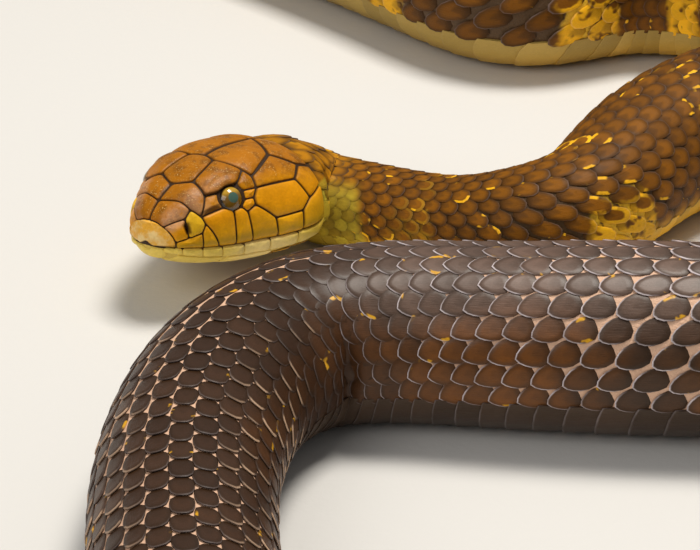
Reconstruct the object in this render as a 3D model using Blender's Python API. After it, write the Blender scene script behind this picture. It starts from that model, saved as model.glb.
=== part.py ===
"""King cobra, life size, lying in a loose coil with the head just clear of the ground.

The body is one tube swept along a route on the floor, parted by thin cuts into the lengths that a
person would name. The head is a domed surface over the line of the mouth, with its large shields
raised on it, the eyes in their sockets and the nostrils sunk in. Metres, +Z up, the head points to -X.
"""
import math

import bmesh
import bpy
import numpy as np
from mathutils import Matrix, Vector

MM = 0.001
SHARP = math.radians(35)   # edges that turn more than this are shaded sharp

# Cuts and flats
GAP = 0.3                  # free space between two touching nodes
BELLY_LIFT = 0.93          # height of the body's axis above the floor, as a share of its half height

# Route of the body's axis on the floor, from behind the head to the tip of the tail (mm)
ROUTE = [
    (-20.0, 82.5), (-11.0, 85.0), (0.0, 82.5), (12.0, 77.0), (25.0, 71.0), (39.0, 65.5), (51.0, 62.8),
    (62.5, 63.0), (74.5, 68.5), (85.0, 81.0), (96.5, 98.5), (111.0, 114.0), (132.0, 130.0),
    (150.5, 152.0), (157.0, 182.0), (149.5, 212.0), (122.0, 232.5), (90.0, 234.5), (60.0, 226.0),
    (28.0, 251.0), (-11.0, 291.0), (-62.0, 338.0), (-112.0, 395.0), (-138.0, 466.0), (-118.0, 542.0),
    (-54.0, 592.0), (40.0, 604.0), (150.0, 586.0), (262.0, 536.0), (360.0, 458.0), (424.0, 352.0),
    (440.0, 238.0), (408.0, 130.0), (340.0, 46.0), (240.0, -16.0), (160.0, -37.5), (104.0, -38.5),
    (45.0, -33.5), (14.0, -30.5), (-10.0, -34.5), (-25.5, -47.5), (-36.5, -67.5), (-44.0, -98.0),
    (-46.6, -130.0), (-45.5, -170.0), (-39.0, -228.0), (-12.0, -288.0), (38.0, -332.0),
    (112.0, -350.0), (202.0, -340.0), (304.0, -312.0), (400.0, -270.0), (480.0, -208.0),
    (534.0, -126.0), (560.0, -32.0), (564.0, 66.0), (552.0, 164.0), (538.0, 262.0), (526.0, 356.0),
    (498.0, 446.0), (440.0, 520.0), (366.0, 576.0), (290.0, 624.0), (262.0, 640.0),
]
PLACE = (-208.7, -127.3, 0.0)   # moves the origin to the middle of the snake's footprint

# Half width of the body at stations measured from the snout (mm)
GIRTH = [
    (60, 23.5), (68, 20.8), (78, 18.0), (92, 16.0), (120, 16.4), (155, 19.4), (200, 23.5), (260, 26.5),
    (320, 26.8), (450, 26.5), (700, 27), (1100, 28.5), (1700, 29.2), (2000, 29.8), (2110, 30.1),
    (2185, 28.4), (2245, 27.3), (2340, 27.0), (2500, 28.2), (2700, 27.5), (3000, 24.5), (3160, 22.0),
    (3240, 19.0), (3400, 16.5), (3600, 13.5), (3800, 9.3), (3930, 5.6), (3985, 2.8), (4000, 1.3),
]
BODY_DEPTH = 0.97          # half height of the body over its half width
NECK_DEPTH = 0.87          # the same just behind the head, which is flatter
NECK_DEPTH_ENDS = (112.0, 165.0)
NECK_WAIST = 92.0          # station of the neck's narrowest place
NECK_FALL = 24.0           # the neck comes down to the floor over this stretch behind the head
HEAD_AXIS = (20.0, 36.0)   # places on the head's own axis that the route starts through
RING_POINTS = 20
RING_STEP = 30.0           # longest stretch between two rings
RING_TURN = math.radians(11.0)  # largest turn between two rings

# Lengths that the body is parted into: name and station of its far end (mm)
LENGTHS = [
    ("neck", 200), ("torso_1", 345), ("torso_2", 560), ("torso_3", 790), ("torso_4", 980),
    ("torso_5", 1230), ("torso_6", 1480), ("torso_7", 1730), ("torso_8", 1990), ("torso_9", 2230),
    ("torso_10", 2345), ("torso_11", 2520), ("torso_12", 2700), ("torso_13", 2930),
    ("torso_14", 3180), ("tail_1", 3440), ("tail_2", 3720), ("tail_3", 4000),
]

# Head: place and turn of the snout's mouth line
HEAD_SCALE = 0.97
HEAD_YAW, HEAD_PITCH, HEAD_ROLL = (math.radians(a) for a in (52.0, 7.7, -4.1))
SNOUT = (-63.2, 28.7, 25.0)
HEAD_END = 66.0            # stretch of the head that is stiff, along its surface (mm)

# Head profiles over the distance from the tip of the mouth line (mm): crown, lip line and chin
REACH = [0.0, 2.0, 5.0, 9.0, 14.0, 20.0, 28.0, 36.0, 46.0, 58.0, 66.0]
CROWN_X = [0.0, 0.1, 0.9, 2.5, 6.6, 12.0, 19.6, 27.6, 38.2, 52.0, 62.0]
CROWN_Z = [0.0, 2.2, 5.4, 9.6, 13.8, 17.2, 20.8, 22.9, 24.2, 23.4, 20.6]
LIP_X = [0.0, 0.5, 1.6, 4.2, 8.6, 14.3, 22.2, 30.2, 40.5, 53.0, 62.0]
LIP_Y = [0.0, 2.2, 5.2, 9.2, 12.8, 16.0, 19.3, 22.0, 25.0, 26.6, 24.2]
LIP_Z = [0.0, -0.2, -0.3, -0.4, -0.8, -1.2, -1.5, -1.3, -1.2, -0.7, 0.3]
CHIN_X = [0.6, 1.2, 3.0, 6.6, 11.5, 17.4, 25.2, 33.2, 43.0, 54.0, 62.0]
CHIN_Z = [-0.8, -2.0, -3.9, -5.7, -7.2, -8.4, -9.8, -10.4, -10.8, -10.4, -9.8]
CROWN_BOX = [2.0, 2.0, 2.1, 2.4, 2.7, 2.8, 2.8, 2.8, 2.6, 2.4, 2.2]
CHIN_BOX = [2.0, 2.0, 2.0, 2.1, 2.2, 2.3, 2.3, 2.3, 2.3, 2.2, 2.1]

# Eyes and nostrils, at a reach (mm) and an angle from the crown (degrees)
EYE_AT = (29.4, 54.0)
EYE_RADIUS = 4.8
EYE_DISC = 3.7             # radius of the part that shows
NOSTRIL_AT = (12.6, 66.0)
NOSTRIL_SIZE = (1.0, 2.6, 2.2)   # half sizes: along the head, down the side, into it

# Corners that the shields of the left side share: reach (mm) and angle from the crown (degrees)
CORNERS = {
    "rostral_front": (0.9, 0), "rostral_lip": (1.2, 78), "internasal_front": (7.2, 0),
    "nasal_front": (7.4, 40), "labial_1": (8.9, 81), "lip_1": (8.9, 89.6), "prefrontal_front": (13.3, 0),
    "nasal_side": (15.6, 24), "nasal_top": (13.3, 52), "nasal_back": (16.0, 44), "nasal_foot": (12.8, 80),
    "loreal": (18.0, 60), "labial_2": (17.1, 78), "lip_2": (17.0, 89.6), "labial_3": (18.6, 70),
    "labial_bend": (20.3, 79), "lip_3": (22.2, 89.6), "frontal_front": (20.4, 0), "frontal_side": (23.6, 14),
    "brow_front": (22.2, 38), "frontal_back": (35.6, 7), "parietal_front": (37.2, 0), "brow_back": (38.4, 31),
    "lid_a": (26.0, 42.5), "lid_b": (25.0, 51), "lid_c": (25.6, 60), "lid_d": (28.6, 66),
    "lid_e": (31.6, 65.5), "lid_f": (33.5, 60), "lid_g": (34.0, 51.5), "lid_h": (33.2, 43),
    "lid_top": (29.4, 40.5),
    "cheek_a": (39.6, 41), "cheek_b": (38.7, 53), "cheek_c": (36.6, 61), "cheek_d": (36.4, 67.5),
    "labial_5": (33.2, 71), "labial_6": (42.7, 80), "labial_7": (53.6, 78.5), "lip_4": (28.0, 89.6),
    "lip_5": (34.0, 89.6), "lip_6": (43.1, 89.6), "lip_7": (53.3, 89.6), "lip_8": (65.0, 89.6),
    "temple_a": (52.5, 24), "temple_b": (59.0, 41), "temple_c": (54.2, 53), "temple_d": (57.4, 70.5),
    "temple_e": (65.2, 62), "temple_f": (64.6, 42), "nape": (58.6, 0), "nape_back": (64.8, 0),
    "mental_front": (1.2, 180), "mental_lip": (1.4, 106), "mental_side": (5.4, 104),
    "mental_edge": (6.6, 122), "mental_back": (7.6, 180),
}

# Shields of the left side, each by its corners
SHIELDS = {
    "internasal": "internasal_front nasal_front nasal_top nasal_back nasal_side prefrontal_front",
    "nasal_1": "nasal_front labial_1 nasal_foot nasal_top",
    "nasal_2": "nasal_top nasal_foot labial_2 labial_3 loreal nasal_back",
    "prefrontal": "prefrontal_front nasal_side nasal_back loreal brow_front frontal_side frontal_front",
    "brow": "frontal_side brow_front lid_a lid_top lid_h brow_back frontal_back",
    "parietal": "parietal_front frontal_back brow_back cheek_a temple_a nape",
    "occipital": "nape temple_a temple_b temple_f nape_back",
    "temple_1": "cheek_a cheek_b temple_c temple_b temple_a",
    "temple_2": "temple_b temple_c temple_d temple_e temple_f",
    "temple_3": "cheek_b cheek_c cheek_d labial_6 labial_7 temple_d temple_c",
    "preocular": "brow_front loreal lid_c lid_b lid_a",
    "postocular_1": "lid_h lid_g cheek_b cheek_a brow_back",
    "postocular_2": "lid_g lid_f cheek_c cheek_b",
    "postocular_3": "lid_f lid_e labial_5 cheek_d cheek_c",
    "labial_1": "labial_1 lip_1 lip_2 labial_2 nasal_foot",
    "labial_2": "labial_2 lip_2 lip_3 labial_bend labial_3",
    "labial_3": "labial_3 labial_bend lip_3 lip_4 lid_d lid_c loreal",
    "labial_4": "lid_d lip_4 lip_5 labial_5 lid_e",
    "labial_5": "labial_5 lip_5 lip_6 labial_6 cheek_d",
    "labial_6": "labial_6 lip_6 lip_7 labial_7",
    "labial_7": "labial_7 lip_7 lip_8 temple_e temple_d",
}
ROSTRAL = "rostral_front rostral_lip lip_1 labial_1 nasal_front internasal_front"
FRONTAL = "frontal_front frontal_side frontal_back parietal_front"
MENTAL = "mental_front mental_lip mental_side mental_edge mental_back"
JAW_SEAMS = [5.4, 10.5, 16.5, 23.0, 30.5, 40.0, 51.0, 64.8]   # borders of the lower labials (mm)
JAW_EDGES = (92.5, 112.0)  # angles between which the lower labials lie, lip first
CHIN_SHIELDS = [(9.0, 24.0), (25.0, 42.0)]   # two pairs, from and to a reach (mm)
CHIN_EDGES = (119.0, 178.5)
SEAM = 0.5                 # free space between two shields
SHIELD_RISE = 0.5          # height of a shield over the skin
BROW_RISE = 1.1
SHIELD_ROOT = 1.0          # depth of a shield's foot in the head
SHIELD_BEVEL = 0.5
SHIELD_EDGE = 4.6          # longest edge of a shield's outline (mm)

TIP_REACH = (0.6, 2.0, 4.0, 6.5)   # rings of the bare head round its rounded tip (mm)
HEAD_RINGS, CROWN_POINTS, CHIN_POINTS = 15, 19, 15   # grid of the bare head under the shields

# Section where the stiff head ends (mm, in the head's own frame)
NAPE_X = CROWN_X[-1]
NAPE_CENTRE = (CROWN_Z[-1] + CHIN_Z[-1]) / 2
NAPE_HALF_HEIGHT = (CROWN_Z[-1] - CHIN_Z[-1]) / 2

INNER_LIMIT = 0.75         # reach of the inner side of a bend, as a share of the bend's radius
FOLD_LENGTH = 60.0         # stretch of neck that is held back behind the head (mm)
FOLD_SPREAD = 0.12         # room that it keeps there, over its distance from the head
NAPE_BLEND = 30.0          # stretch in which the head's height becomes the neck's (mm)
ROLL_END = 60.0            # stretch in which the head's roll dies out (mm)
SECTION_POWER = 6          # how sharply the inner side of a bend is held back
BEND_STEP = 6.0            # spacing at which the route's bend is measured (mm)

SKINS = {
    "head": (0.46, 0.17, 0.02), "lower_jaw": (0.72, 0.55, 0.16), "eye": (0.10, 0.13, 0.09),
    "neck": (0.30, 0.13, 0.02), "torso": (0.09, 0.05, 0.03), "tail": (0.07, 0.04, 0.03),
}


def hermite(stations, values, at):
    """Smooth curve through the stations that doesn't swing past them (monotone cubic)."""
    x, y, at = (np.asarray(v, float) for v in (stations, values, at))
    h, slope = np.diff(x), np.diff(y) / np.diff(x)
    product = slope[1:] * slope[:-1]
    mid = np.where(product > 0, 2 * product / (slope[1:] + slope[:-1] + 1e-12), 0)
    m = np.concatenate([slope[:1], mid, slope[-1:]])
    i = np.clip(np.searchsorted(x, at, side="right") - 1, 0, len(h) - 1)
    t = (at - x[i]) / h[i]
    return ((1 + 2 * t) * (1 - t) ** 2 * y[i] + t * (1 - t) ** 2 * h[i] * m[i]
            + t * t * (3 - 2 * t) * y[i + 1] - t * t * (1 - t) * h[i] * m[i + 1])


def natural_spline(knots, values, at):
    """Cubic spline with free ends through values at knots."""
    n, h = len(knots), np.diff(knots)
    a = np.eye(n)
    b = np.zeros((n, values.shape[1]))
    for i in range(1, n - 1):
        a[i, i - 1:i + 2] = h[i - 1], 2 * (h[i - 1] + h[i]), h[i]
        b[i] = 6 * ((values[i + 1] - values[i]) / h[i] - (values[i] - values[i - 1]) / h[i - 1])
    c = np.linalg.solve(a, b)
    i = np.clip(np.searchsorted(knots, at, side="right") - 1, 0, n - 2)
    t, u, g = (at - knots[i])[:, None], (knots[i + 1] - at)[:, None], h[i][:, None]
    return ((c[i] * u ** 3 + c[i + 1] * t ** 3) / (6 * g)
            + (values[i] / g - c[i] * g / 6) * u + (values[i + 1] / g - c[i + 1] * g / 6) * t)


def head_turn():
    """Rotation of the head about the tip of the mouth line."""
    return np.array(Matrix.Rotation(HEAD_YAW, 3, "Z") @ Matrix.Rotation(HEAD_PITCH, 3, "Y")
                    @ Matrix.Rotation(HEAD_ROLL, 3, "X"))


def head_to_world(points):
    """Head coordinates (back, left, up) to the world, in mm."""
    p = np.asarray(points, float) * HEAD_SCALE
    flat = np.stack([p[..., 0], -p[..., 1], p[..., 2]], -1)
    return flat @ head_turn().T + np.array(SNOUT)


def head_surface(reach, angle):
    """Point of the head's surface: reach in mm from the mouth's tip, angle from the crown to its left."""
    reach, angle = np.broadcast_arrays(np.asarray(reach, float), np.asarray(angle, float))
    c, s = np.cos(angle), np.sin(angle)
    above = c >= 0
    box = np.where(above, hermite(REACH, CROWN_BOX, reach), hermite(REACH, CHIN_BOX, reach))
    far_x = np.where(above, hermite(REACH, CROWN_X, reach), hermite(REACH, CHIN_X, reach))
    far_z = np.where(above, hermite(REACH, CROWN_Z, reach), hermite(REACH, CHIN_Z, reach))
    lip = [hermite(REACH, v, reach) for v in (LIP_X, LIP_Y, LIP_Z)]
    rise, side = np.abs(c) ** (2 / box), np.sign(s) * np.abs(s) ** (2 / box)
    return np.stack([lip[0] + (far_x - lip[0]) * rise, lip[1] * side, lip[2] + (far_z - lip[2]) * rise], -1)


def head_normal(reach, angle):
    """Outward direction of the head's surface."""
    p = head_surface(reach, angle)
    along = head_surface(reach + 0.05, angle) - p
    round_ = head_surface(reach, angle + 0.01) - p
    n = np.cross(along, round_)
    return n / np.linalg.norm(n, axis=-1, keepdims=True)


def smooth_step(low, high, at):
    """Eased rise from 0 at low to 1 at high."""
    t = np.clip((at - low) / (high - low), 0, 1)
    return t * t * (3 - 2 * t)


class Route:
    """The body's axis: place, heading and girth at every station."""

    def __init__(self):
        """The first points lie on the head's own axis, so that the neck leaves the head straight."""
        axis = head_to_world([(x, 0.0, NAPE_CENTRE) for x in (*HEAD_AXIS, NAPE_X)])
        plan = np.vstack([axis[:, :2], np.array(ROUTE, float)])
        knots = np.concatenate([[0.0], np.cumsum(np.linalg.norm(np.diff(plan, axis=0), axis=1) ** 0.5)])
        dense = natural_spline(knots, plan, np.linspace(0, knots[-1], 8000))
        station = np.concatenate([[0.0], np.cumsum(np.linalg.norm(np.diff(dense, axis=0), axis=1))])
        self.start = NAPE_X * HEAD_SCALE
        station += HEAD_AXIS[0] * HEAD_SCALE
        self.station, self.plan = station, dense
        self.lift = float(axis[2, 2])
        self.head_end = axis[2]
        self.head_back = (axis[2] - axis[0]) / np.linalg.norm(axis[2] - axis[0])

    def place(self, s):
        """Centre of the section at station s."""
        s = np.asarray(s, float)
        xy = np.stack([np.interp(s, self.station, self.plan[:, k]) for k in (0, 1)], -1)
        ground = self.half_height(s) * BELLY_LIFT
        fall = 1 - smooth_step(self.start, self.start + NECK_FALL, s)
        return np.concatenate([xy, (ground + (self.lift - ground) * fall)[..., None]], -1)

    def half_width(self, s):
        """Half width of the body at station s."""
        stations, values = zip(*GIRTH)
        return hermite(stations, values, np.clip(s, stations[0], stations[-1]))

    def half_height(self, s):
        """Half height of the body at station s: the back of the head is flatter than the body."""
        depth = NECK_DEPTH + (BODY_DEPTH - NECK_DEPTH) * smooth_step(*NECK_DEPTH_ENDS, s)
        full = self.half_width(np.maximum(s, NECK_WAIST)) * depth
        t = np.clip((s - self.start) / NAPE_BLEND, 0, 1)
        return full * t + NAPE_HALF_HEIGHT * HEAD_SCALE * (1 - t)

    def bend(self, s):
        """Curvature of the axis at station s, positive where it turns to the right (1/mm)."""
        a = self.place(s) - self.place(s - BEND_STEP)
        b = self.place(s + BEND_STEP) - self.place(s)
        return -math.atan2(a[0] * b[1] - a[1] * b[0], a[0] * b[0] + a[1] * b[1]) / BEND_STEP

    def ring(self, s):
        """The section at station s as RING_POINTS points, none below the floor."""
        centre = self.place(s)
        ahead, behind = self.place(s + 1.0), self.place(s - 1.0)
        along = (ahead - behind) / np.linalg.norm(ahead - behind)
        left = np.cross(along, (0.0, 0.0, 1.0))
        left /= np.linalg.norm(left)
        up = np.cross(left, along)
        roll = HEAD_ROLL * np.clip(1 - (s - self.start) / ROLL_END, 0, 1)
        left, up = left * math.cos(roll) + up * math.sin(roll), up * math.cos(roll) - left * math.sin(roll)
        a = np.linspace(0, 2 * math.pi, RING_POINTS, endpoint=False)
        across = np.sin(a) * self.half_width(s)
        bend = self.bend(s)
        if abs(bend) > 1e-4:
            reach = INNER_LIMIT / abs(bend)
            inner = across * bend > 0
            share = (np.abs(across[inner]) / reach) ** SECTION_POWER
            across[inner] /= (1 + share) ** (1 / SECTION_POWER)
        ring = centre + np.outer(across, left) + np.outer(np.cos(a) * self.half_height(s), up)
        if s - self.start < FOLD_LENGTH:
            room = GAP + FOLD_SPREAD * (s - self.start)
            behind_head = (ring - self.head_end) @ self.head_back
            ring += np.outer(np.maximum(room - behind_head, 0.0), self.head_back)
        ring[:, 2] = np.maximum(ring[:, 2], 0.0)
        return ring

    def rings(self, begin, end):
        """Stations between two cuts, closer where the body bends."""
        s = [begin]
        while s[-1] < end:
            turn = abs(self.bend(s[-1] + BEND_STEP))
            s.append(s[-1] + min(RING_STEP, RING_TURN / max(turn, 1e-6)))
        return begin + (np.array(s) - begin) / (s[-1] - begin) * (end - begin)


def loft(name, rings):
    """One closed body over a row of rings of points, with flat ends (mm)."""
    rings = np.asarray(rings) * MM
    count, size = rings.shape[:2]
    mesh = bmesh.new()
    verts = [[mesh.verts.new(p) for p in ring] for ring in rings]
    for i in range(count - 1):
        for j in range(size):
            k = (j + 1) % size
            mesh.faces.new((verts[i][j], verts[i][k], verts[i + 1][k], verts[i + 1][j]))
    mesh.faces.new(reversed(verts[0]))
    mesh.faces.new(verts[-1])
    return finish(name, mesh)


def finish(name, mesh):
    """Turn a bmesh into an object in its place, facing out, smooth except along sharp edges."""
    if mesh.calc_volume(signed=True) < 0:
        bmesh.ops.reverse_faces(mesh, faces=mesh.faces)
    bmesh.ops.translate(mesh, verts=mesh.verts, vec=Vector(PLACE) * MM)
    data = bpy.data.meshes.new(name)
    mesh.to_mesh(data)
    mesh.free()
    data.shade_smooth()
    data.set_sharp_from_angle(angle=SHARP)
    return bpy.data.objects.new(name, data)


def skin(name, kind, roughness):
    """Material of one node."""
    material = bpy.data.materials.new(name)
    material.use_nodes = True
    shader = material.node_tree.nodes["Principled BSDF"]
    shader.inputs["Base Color"].default_value = (*SKINS[kind], 1.0)
    shader.inputs["Roughness"].default_value = roughness
    return material


def half_head(name, top):
    """Upper or lower half of the head: arches from lip to lip, closed by the plane of the mouth."""
    reach = np.concatenate([TIP_REACH, np.linspace(TIP_REACH[-1] + 3.0, HEAD_END, HEAD_RINGS)])
    angle = np.linspace(-90, 90, CROWN_POINTS) if top else np.linspace(90, 270, CHIN_POINTS)
    clear = GAP / 2 if top else -GAP / 2
    rings = []
    for u in reach:
        arch = head_surface(u, np.radians(angle))
        arch[:, 2] += clear
        rings.append(head_to_world(arch))
    return loft(name, rings)


def outline(corners, mirror):
    """Reach and angle round a shield: its corners and enough points between them. With a mirror the
    corners are half of the outline and the other half is the same on the right."""
    points = [np.array(CORNERS[name], float) for name in corners.split()]
    if mirror:
        back = [p * (1, -1) if p[1] < 90 else (p[0], 360 - p[1]) for p in reversed(points)]
        points += [np.array(p) for p in back if abs(p[1]) > 0.1 and abs(p[1] - 180) > 0.1]
    return subdivide(points)


def subdivide(points):
    """Close the outline with points no further apart than SHIELD_EDGE on the head."""
    dense = []
    for a, b in zip(points, points[1:] + points[:1]):
        ends = head_surface(*np.array([a, b]).T * [[1.0], [math.pi / 180]])
        steps = max(1, math.ceil(np.linalg.norm(ends[1] - ends[0]) / SHIELD_EDGE))
        dense += [a + (b - a) * k / steps for k in range(steps)]
    return np.array(dense)


def shrink(border, distance):
    """Move every side of an outline inwards by a distance in mm, measured on the head."""
    middle = border.mean(0)
    here = head_surface(middle[0], math.radians(middle[1]))
    scale = np.array([np.linalg.norm(head_surface(middle[0] + 1, math.radians(middle[1])) - here),
                      np.linalg.norm(head_surface(middle[0], math.radians(middle[1] + 1)) - here)])
    flat = border * scale
    before, after = flat - np.roll(flat, 1, 0), np.roll(flat, -1, 0) - flat
    turn = np.sign(np.sum(before[:, 0] * after[:, 1] - before[:, 1] * after[:, 0]))
    sides = [np.stack([-v[:, 1], v[:, 0]], 1) / np.linalg.norm(v, axis=1)[:, None] for v in (before, after)]
    mean = sides[0] + sides[1]
    mean /= np.maximum(np.sum(mean * sides[0], 1), 0.5)[:, None]
    return (flat + mean * turn * distance) / scale


def shield(name, border, rise):
    """One shield: its foot in the head, a bevelled rim and a domed top that follows the head."""
    border = shrink(border, SEAM / 2)
    rim = shrink(border, SHIELD_BEVEL)
    middle = rim.mean(0)
    rows = [(border, -SHIELD_ROOT), (border, rise - SHIELD_BEVEL / 2), (rim, rise),
            ((rim + middle) / 2, rise)]
    mesh = bmesh.new()
    loops = []
    for row, height in rows:
        at = (row[:, 0], np.radians(row[:, 1]))
        points = head_to_world(head_surface(*at) + head_normal(*at) * height)
        loops.append([mesh.verts.new(p * MM) for p in points])
    at = (middle[0], math.radians(middle[1]))
    top = mesh.verts.new(head_to_world(head_surface(*at) + head_normal(*at) * rise) * MM)
    count = len(border)
    for k in range(count):
        n = (k + 1) % count
        for low, high in zip(loops, loops[1:]):
            mesh.faces.new((low[k], low[n], high[n], high[k]))
        mesh.faces.new((loops[-1][k], loops[-1][n], top))
    mesh.faces.new(reversed(loops[0]))
    return finish(name, mesh)


def head_shields():
    """The shields of the upper head."""
    made = [shield("rostral", outline(ROSTRAL, True), SHIELD_RISE),
            shield("frontal", outline(FRONTAL, True), SHIELD_RISE)]
    for name, corners in SHIELDS.items():
        rise = BROW_RISE if name == "brow" else SHIELD_RISE
        left = outline(corners, False)
        left[:, 1] = np.maximum(left[:, 1], 0.0)
        for side, word in ((1, "left"), (-1, "right")):
            made.append(shield(name + "_" + word, left * (1, side), rise))
    return made


def jaw_shields():
    """The shields of the lower jaw: mental, lower labials and two pairs under the chin."""
    made = [shield("mental", outline(MENTAL, True), SHIELD_RISE)]
    boxes = [(a, b, *JAW_EDGES) for a, b in zip(JAW_SEAMS, JAW_SEAMS[1:])]
    boxes += [(a, b, *CHIN_EDGES) for a, b in CHIN_SHIELDS]
    for k, (near, far, low, high) in enumerate(boxes):
        corners = [np.array(p) for p in ((near, low), (far, low), (far, high), (near, high))]
        left = subdivide(corners)
        right = left * (1, -1) + (0, 360)
        made += [shield(f"jaw_{k}_left", left, SHIELD_RISE), shield(f"jaw_{k}_right", right, SHIELD_RISE)]
    return made


def fuse(target, pieces):
    """Join closed pieces to the target in one union and keep its largest closed surface."""
    group = bpy.data.collections.new(target.name + "_pieces")
    bpy.context.scene.collection.children.link(group)
    for piece in pieces:
        group.objects.link(piece)
    step = target.modifiers.new("union", "BOOLEAN")
    step.operation, step.operand_type, step.solver, step.collection = "UNION", "COLLECTION", "MANIFOLD", group
    apply_modifiers(target)
    for piece in pieces:
        bpy.data.objects.remove(piece, do_unlink=True)
    bpy.data.collections.remove(group)


def apply_modifiers(target):
    """Write the target's modifiers into its mesh and keep the largest closed surface."""
    bpy.context.view_layer.update()
    view = bpy.context.evaluated_depsgraph_get()
    data = bpy.data.meshes.new_from_object(target.evaluated_get(view))
    target.modifiers.clear()
    mesh = bmesh.new()
    mesh.from_mesh(data)
    bmesh.ops.triangulate(mesh, faces=mesh.faces)
    bmesh.ops.dissolve_degenerate(mesh, dist=1e-6, edges=mesh.edges)
    drop_scraps(mesh)
    mesh.to_mesh(data)
    mesh.free()
    old, target.data = target.data, data
    bpy.data.meshes.remove(old)
    data.name = target.name
    data.shade_smooth()
    data.set_sharp_from_angle(angle=SHARP)


def drop_scraps(mesh):
    """Delete all but the largest connected surface."""
    mesh.faces.ensure_lookup_table()
    left, groups = set(mesh.faces), []
    while left:
        group, edge = set(), [left.pop()]
        while edge:
            face = edge.pop()
            group.add(face)
            near = {other for e in face.edges for other in e.link_faces} & left
            left -= near
            edge += near
        groups.append(group)
    largest = max(groups, key=lambda g: sum(f.calc_area() for f in g))
    scraps = [f for g in groups if g is not largest for f in g]
    bmesh.ops.delete(mesh, geom=scraps, context="FACES")


def eye_centre(side):
    """Middle of the eyeball, sunk so that only the disc stands in the socket."""
    at = (EYE_AT[0], side * math.radians(EYE_AT[1]))
    depth = math.sqrt(EYE_RADIUS ** 2 - EYE_DISC ** 2)
    return head_to_world(head_surface(*at) - head_normal(*at) * depth)


def ball(name, centre, radius, turns=18, rings=10):
    """A sphere of a few faces (mm)."""
    mesh = bmesh.new()
    bmesh.ops.create_uvsphere(mesh, u_segments=turns, v_segments=rings, radius=radius * MM,
                              matrix=Matrix.Translation(Vector(centre) * MM))
    return finish(name, mesh)


def cut(target, cutter, helpers):
    """Take the cutter out of the target."""
    cutter.hide_render = True
    cutter.display_type = "WIRE"
    helpers.objects.link(cutter)
    step = target.modifiers.new("cut_" + cutter.name, "BOOLEAN")
    step.operation, step.solver, step.object = "DIFFERENCE", "EXACT", cutter


def nostril(side):
    """Pocket of one nostril: a short upright slit."""
    at = (NOSTRIL_AT[0], side * math.radians(NOSTRIL_AT[1]))
    normal = head_normal(*at)
    down = head_surface(at[0], at[1] + 0.05 * side) - head_surface(*at)
    down -= normal * (down @ normal)
    down /= np.linalg.norm(down)
    axes = np.stack([np.cross(down, normal), down, normal], 1)
    mesh = bmesh.new()
    bmesh.ops.create_uvsphere(mesh, u_segments=12, v_segments=8, radius=1.0)
    for vert in mesh.verts:
        local = np.array(vert.co) * np.array(NOSTRIL_SIZE)
        vert.co = Vector(head_to_world(head_surface(*at) + axes @ local)) * MM
    return finish("nostril_pocket_" + ("left" if side > 0 else "right"), mesh)


def build():
    """Build every node."""
    for old in list(bpy.data.objects):
        bpy.data.objects.remove(old, do_unlink=True)
    parts = bpy.data.collections.new("king_cobra")
    helpers = bpy.data.collections.new("cutters")
    for collection in (parts, helpers):
        bpy.context.scene.collection.children.link(collection)
    route = Route()

    def keep(obj, kind, roughness=0.45):
        """Give a node its material and put it among the parts."""
        obj.data.materials.append(skin(obj.name + "_skin", kind, roughness))
        parts.objects.link(obj)
        return obj

    head = keep(half_head("head", True), "head")
    jaw = keep(half_head("lower_jaw", False), "lower_jaw")
    fuse(head, head_shields())
    fuse(jaw, jaw_shields())
    for side, word in ((1, "left"), (-1, "right")):
        centre = eye_centre(side)
        keep(ball("eye_" + word, centre, EYE_RADIUS), "eye", 0.1)
        cut(head, ball("socket_" + word, centre, EYE_RADIUS + GAP), helpers)
        cut(head, nostril(side), helpers)
    apply_modifiers(head)

    begin = route.start
    for name, end in LENGTHS:
        rings = [route.ring(s) for s in route.rings(begin + GAP / 2, end - GAP / 2)]
        if name == "neck":
            angle = np.linspace(0, 2 * math.pi, RING_POINTS, endpoint=False)
            joint = head_to_world(head_surface(HEAD_END, angle) + np.array([GAP, 0.0, 0.0]))
            rings = [joint] + rings[1:]
        keep(loft(name, rings), name.split("_")[0])
        begin = end


build()
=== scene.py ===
"""A king cobra at life size, dressed for a museum floor.

One skin runs from the snout to the tip of the tail. Shields cover the head, rows of scales the back
and broad scutes the belly, and each of them is a domed plate with its root sunk in the skin. Sizes
are in millimetres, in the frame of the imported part, until a mesh is written in metres.

A place on the snake is a run and an angle: the run goes from the tip of the mouth along the back,
and the angle goes round from the crown (0) over the left side to the belly (pi).
"""

import logging
import math
from dataclasses import dataclass, field
from enum import Enum
from typing import Any

import bpy
import numpy as np
from mathutils import Matrix, Vector


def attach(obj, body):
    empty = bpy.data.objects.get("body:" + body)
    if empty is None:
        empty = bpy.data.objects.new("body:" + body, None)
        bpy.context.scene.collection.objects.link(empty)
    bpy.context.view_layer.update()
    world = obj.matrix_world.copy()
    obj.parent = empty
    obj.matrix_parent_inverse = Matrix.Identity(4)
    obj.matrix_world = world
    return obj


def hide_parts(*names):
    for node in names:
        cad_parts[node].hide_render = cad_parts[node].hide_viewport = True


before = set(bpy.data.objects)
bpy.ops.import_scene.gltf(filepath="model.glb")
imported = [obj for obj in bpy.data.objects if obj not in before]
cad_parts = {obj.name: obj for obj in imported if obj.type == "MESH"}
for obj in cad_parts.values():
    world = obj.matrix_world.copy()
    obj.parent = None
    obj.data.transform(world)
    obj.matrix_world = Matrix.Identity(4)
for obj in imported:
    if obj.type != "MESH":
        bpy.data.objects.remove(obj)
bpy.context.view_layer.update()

MM = 0.001
PLACE = np.array([-208.7, -127.3, 0.0])   # the footprint's middle is the origin
LOG = logging.getLogger("king_cobra")
Array = np.ndarray
Material = bpy.types.Material
Pair = tuple[float, float]
Triple = tuple[float, float, float]       # a point, three turns or a colour


# Forms

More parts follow.
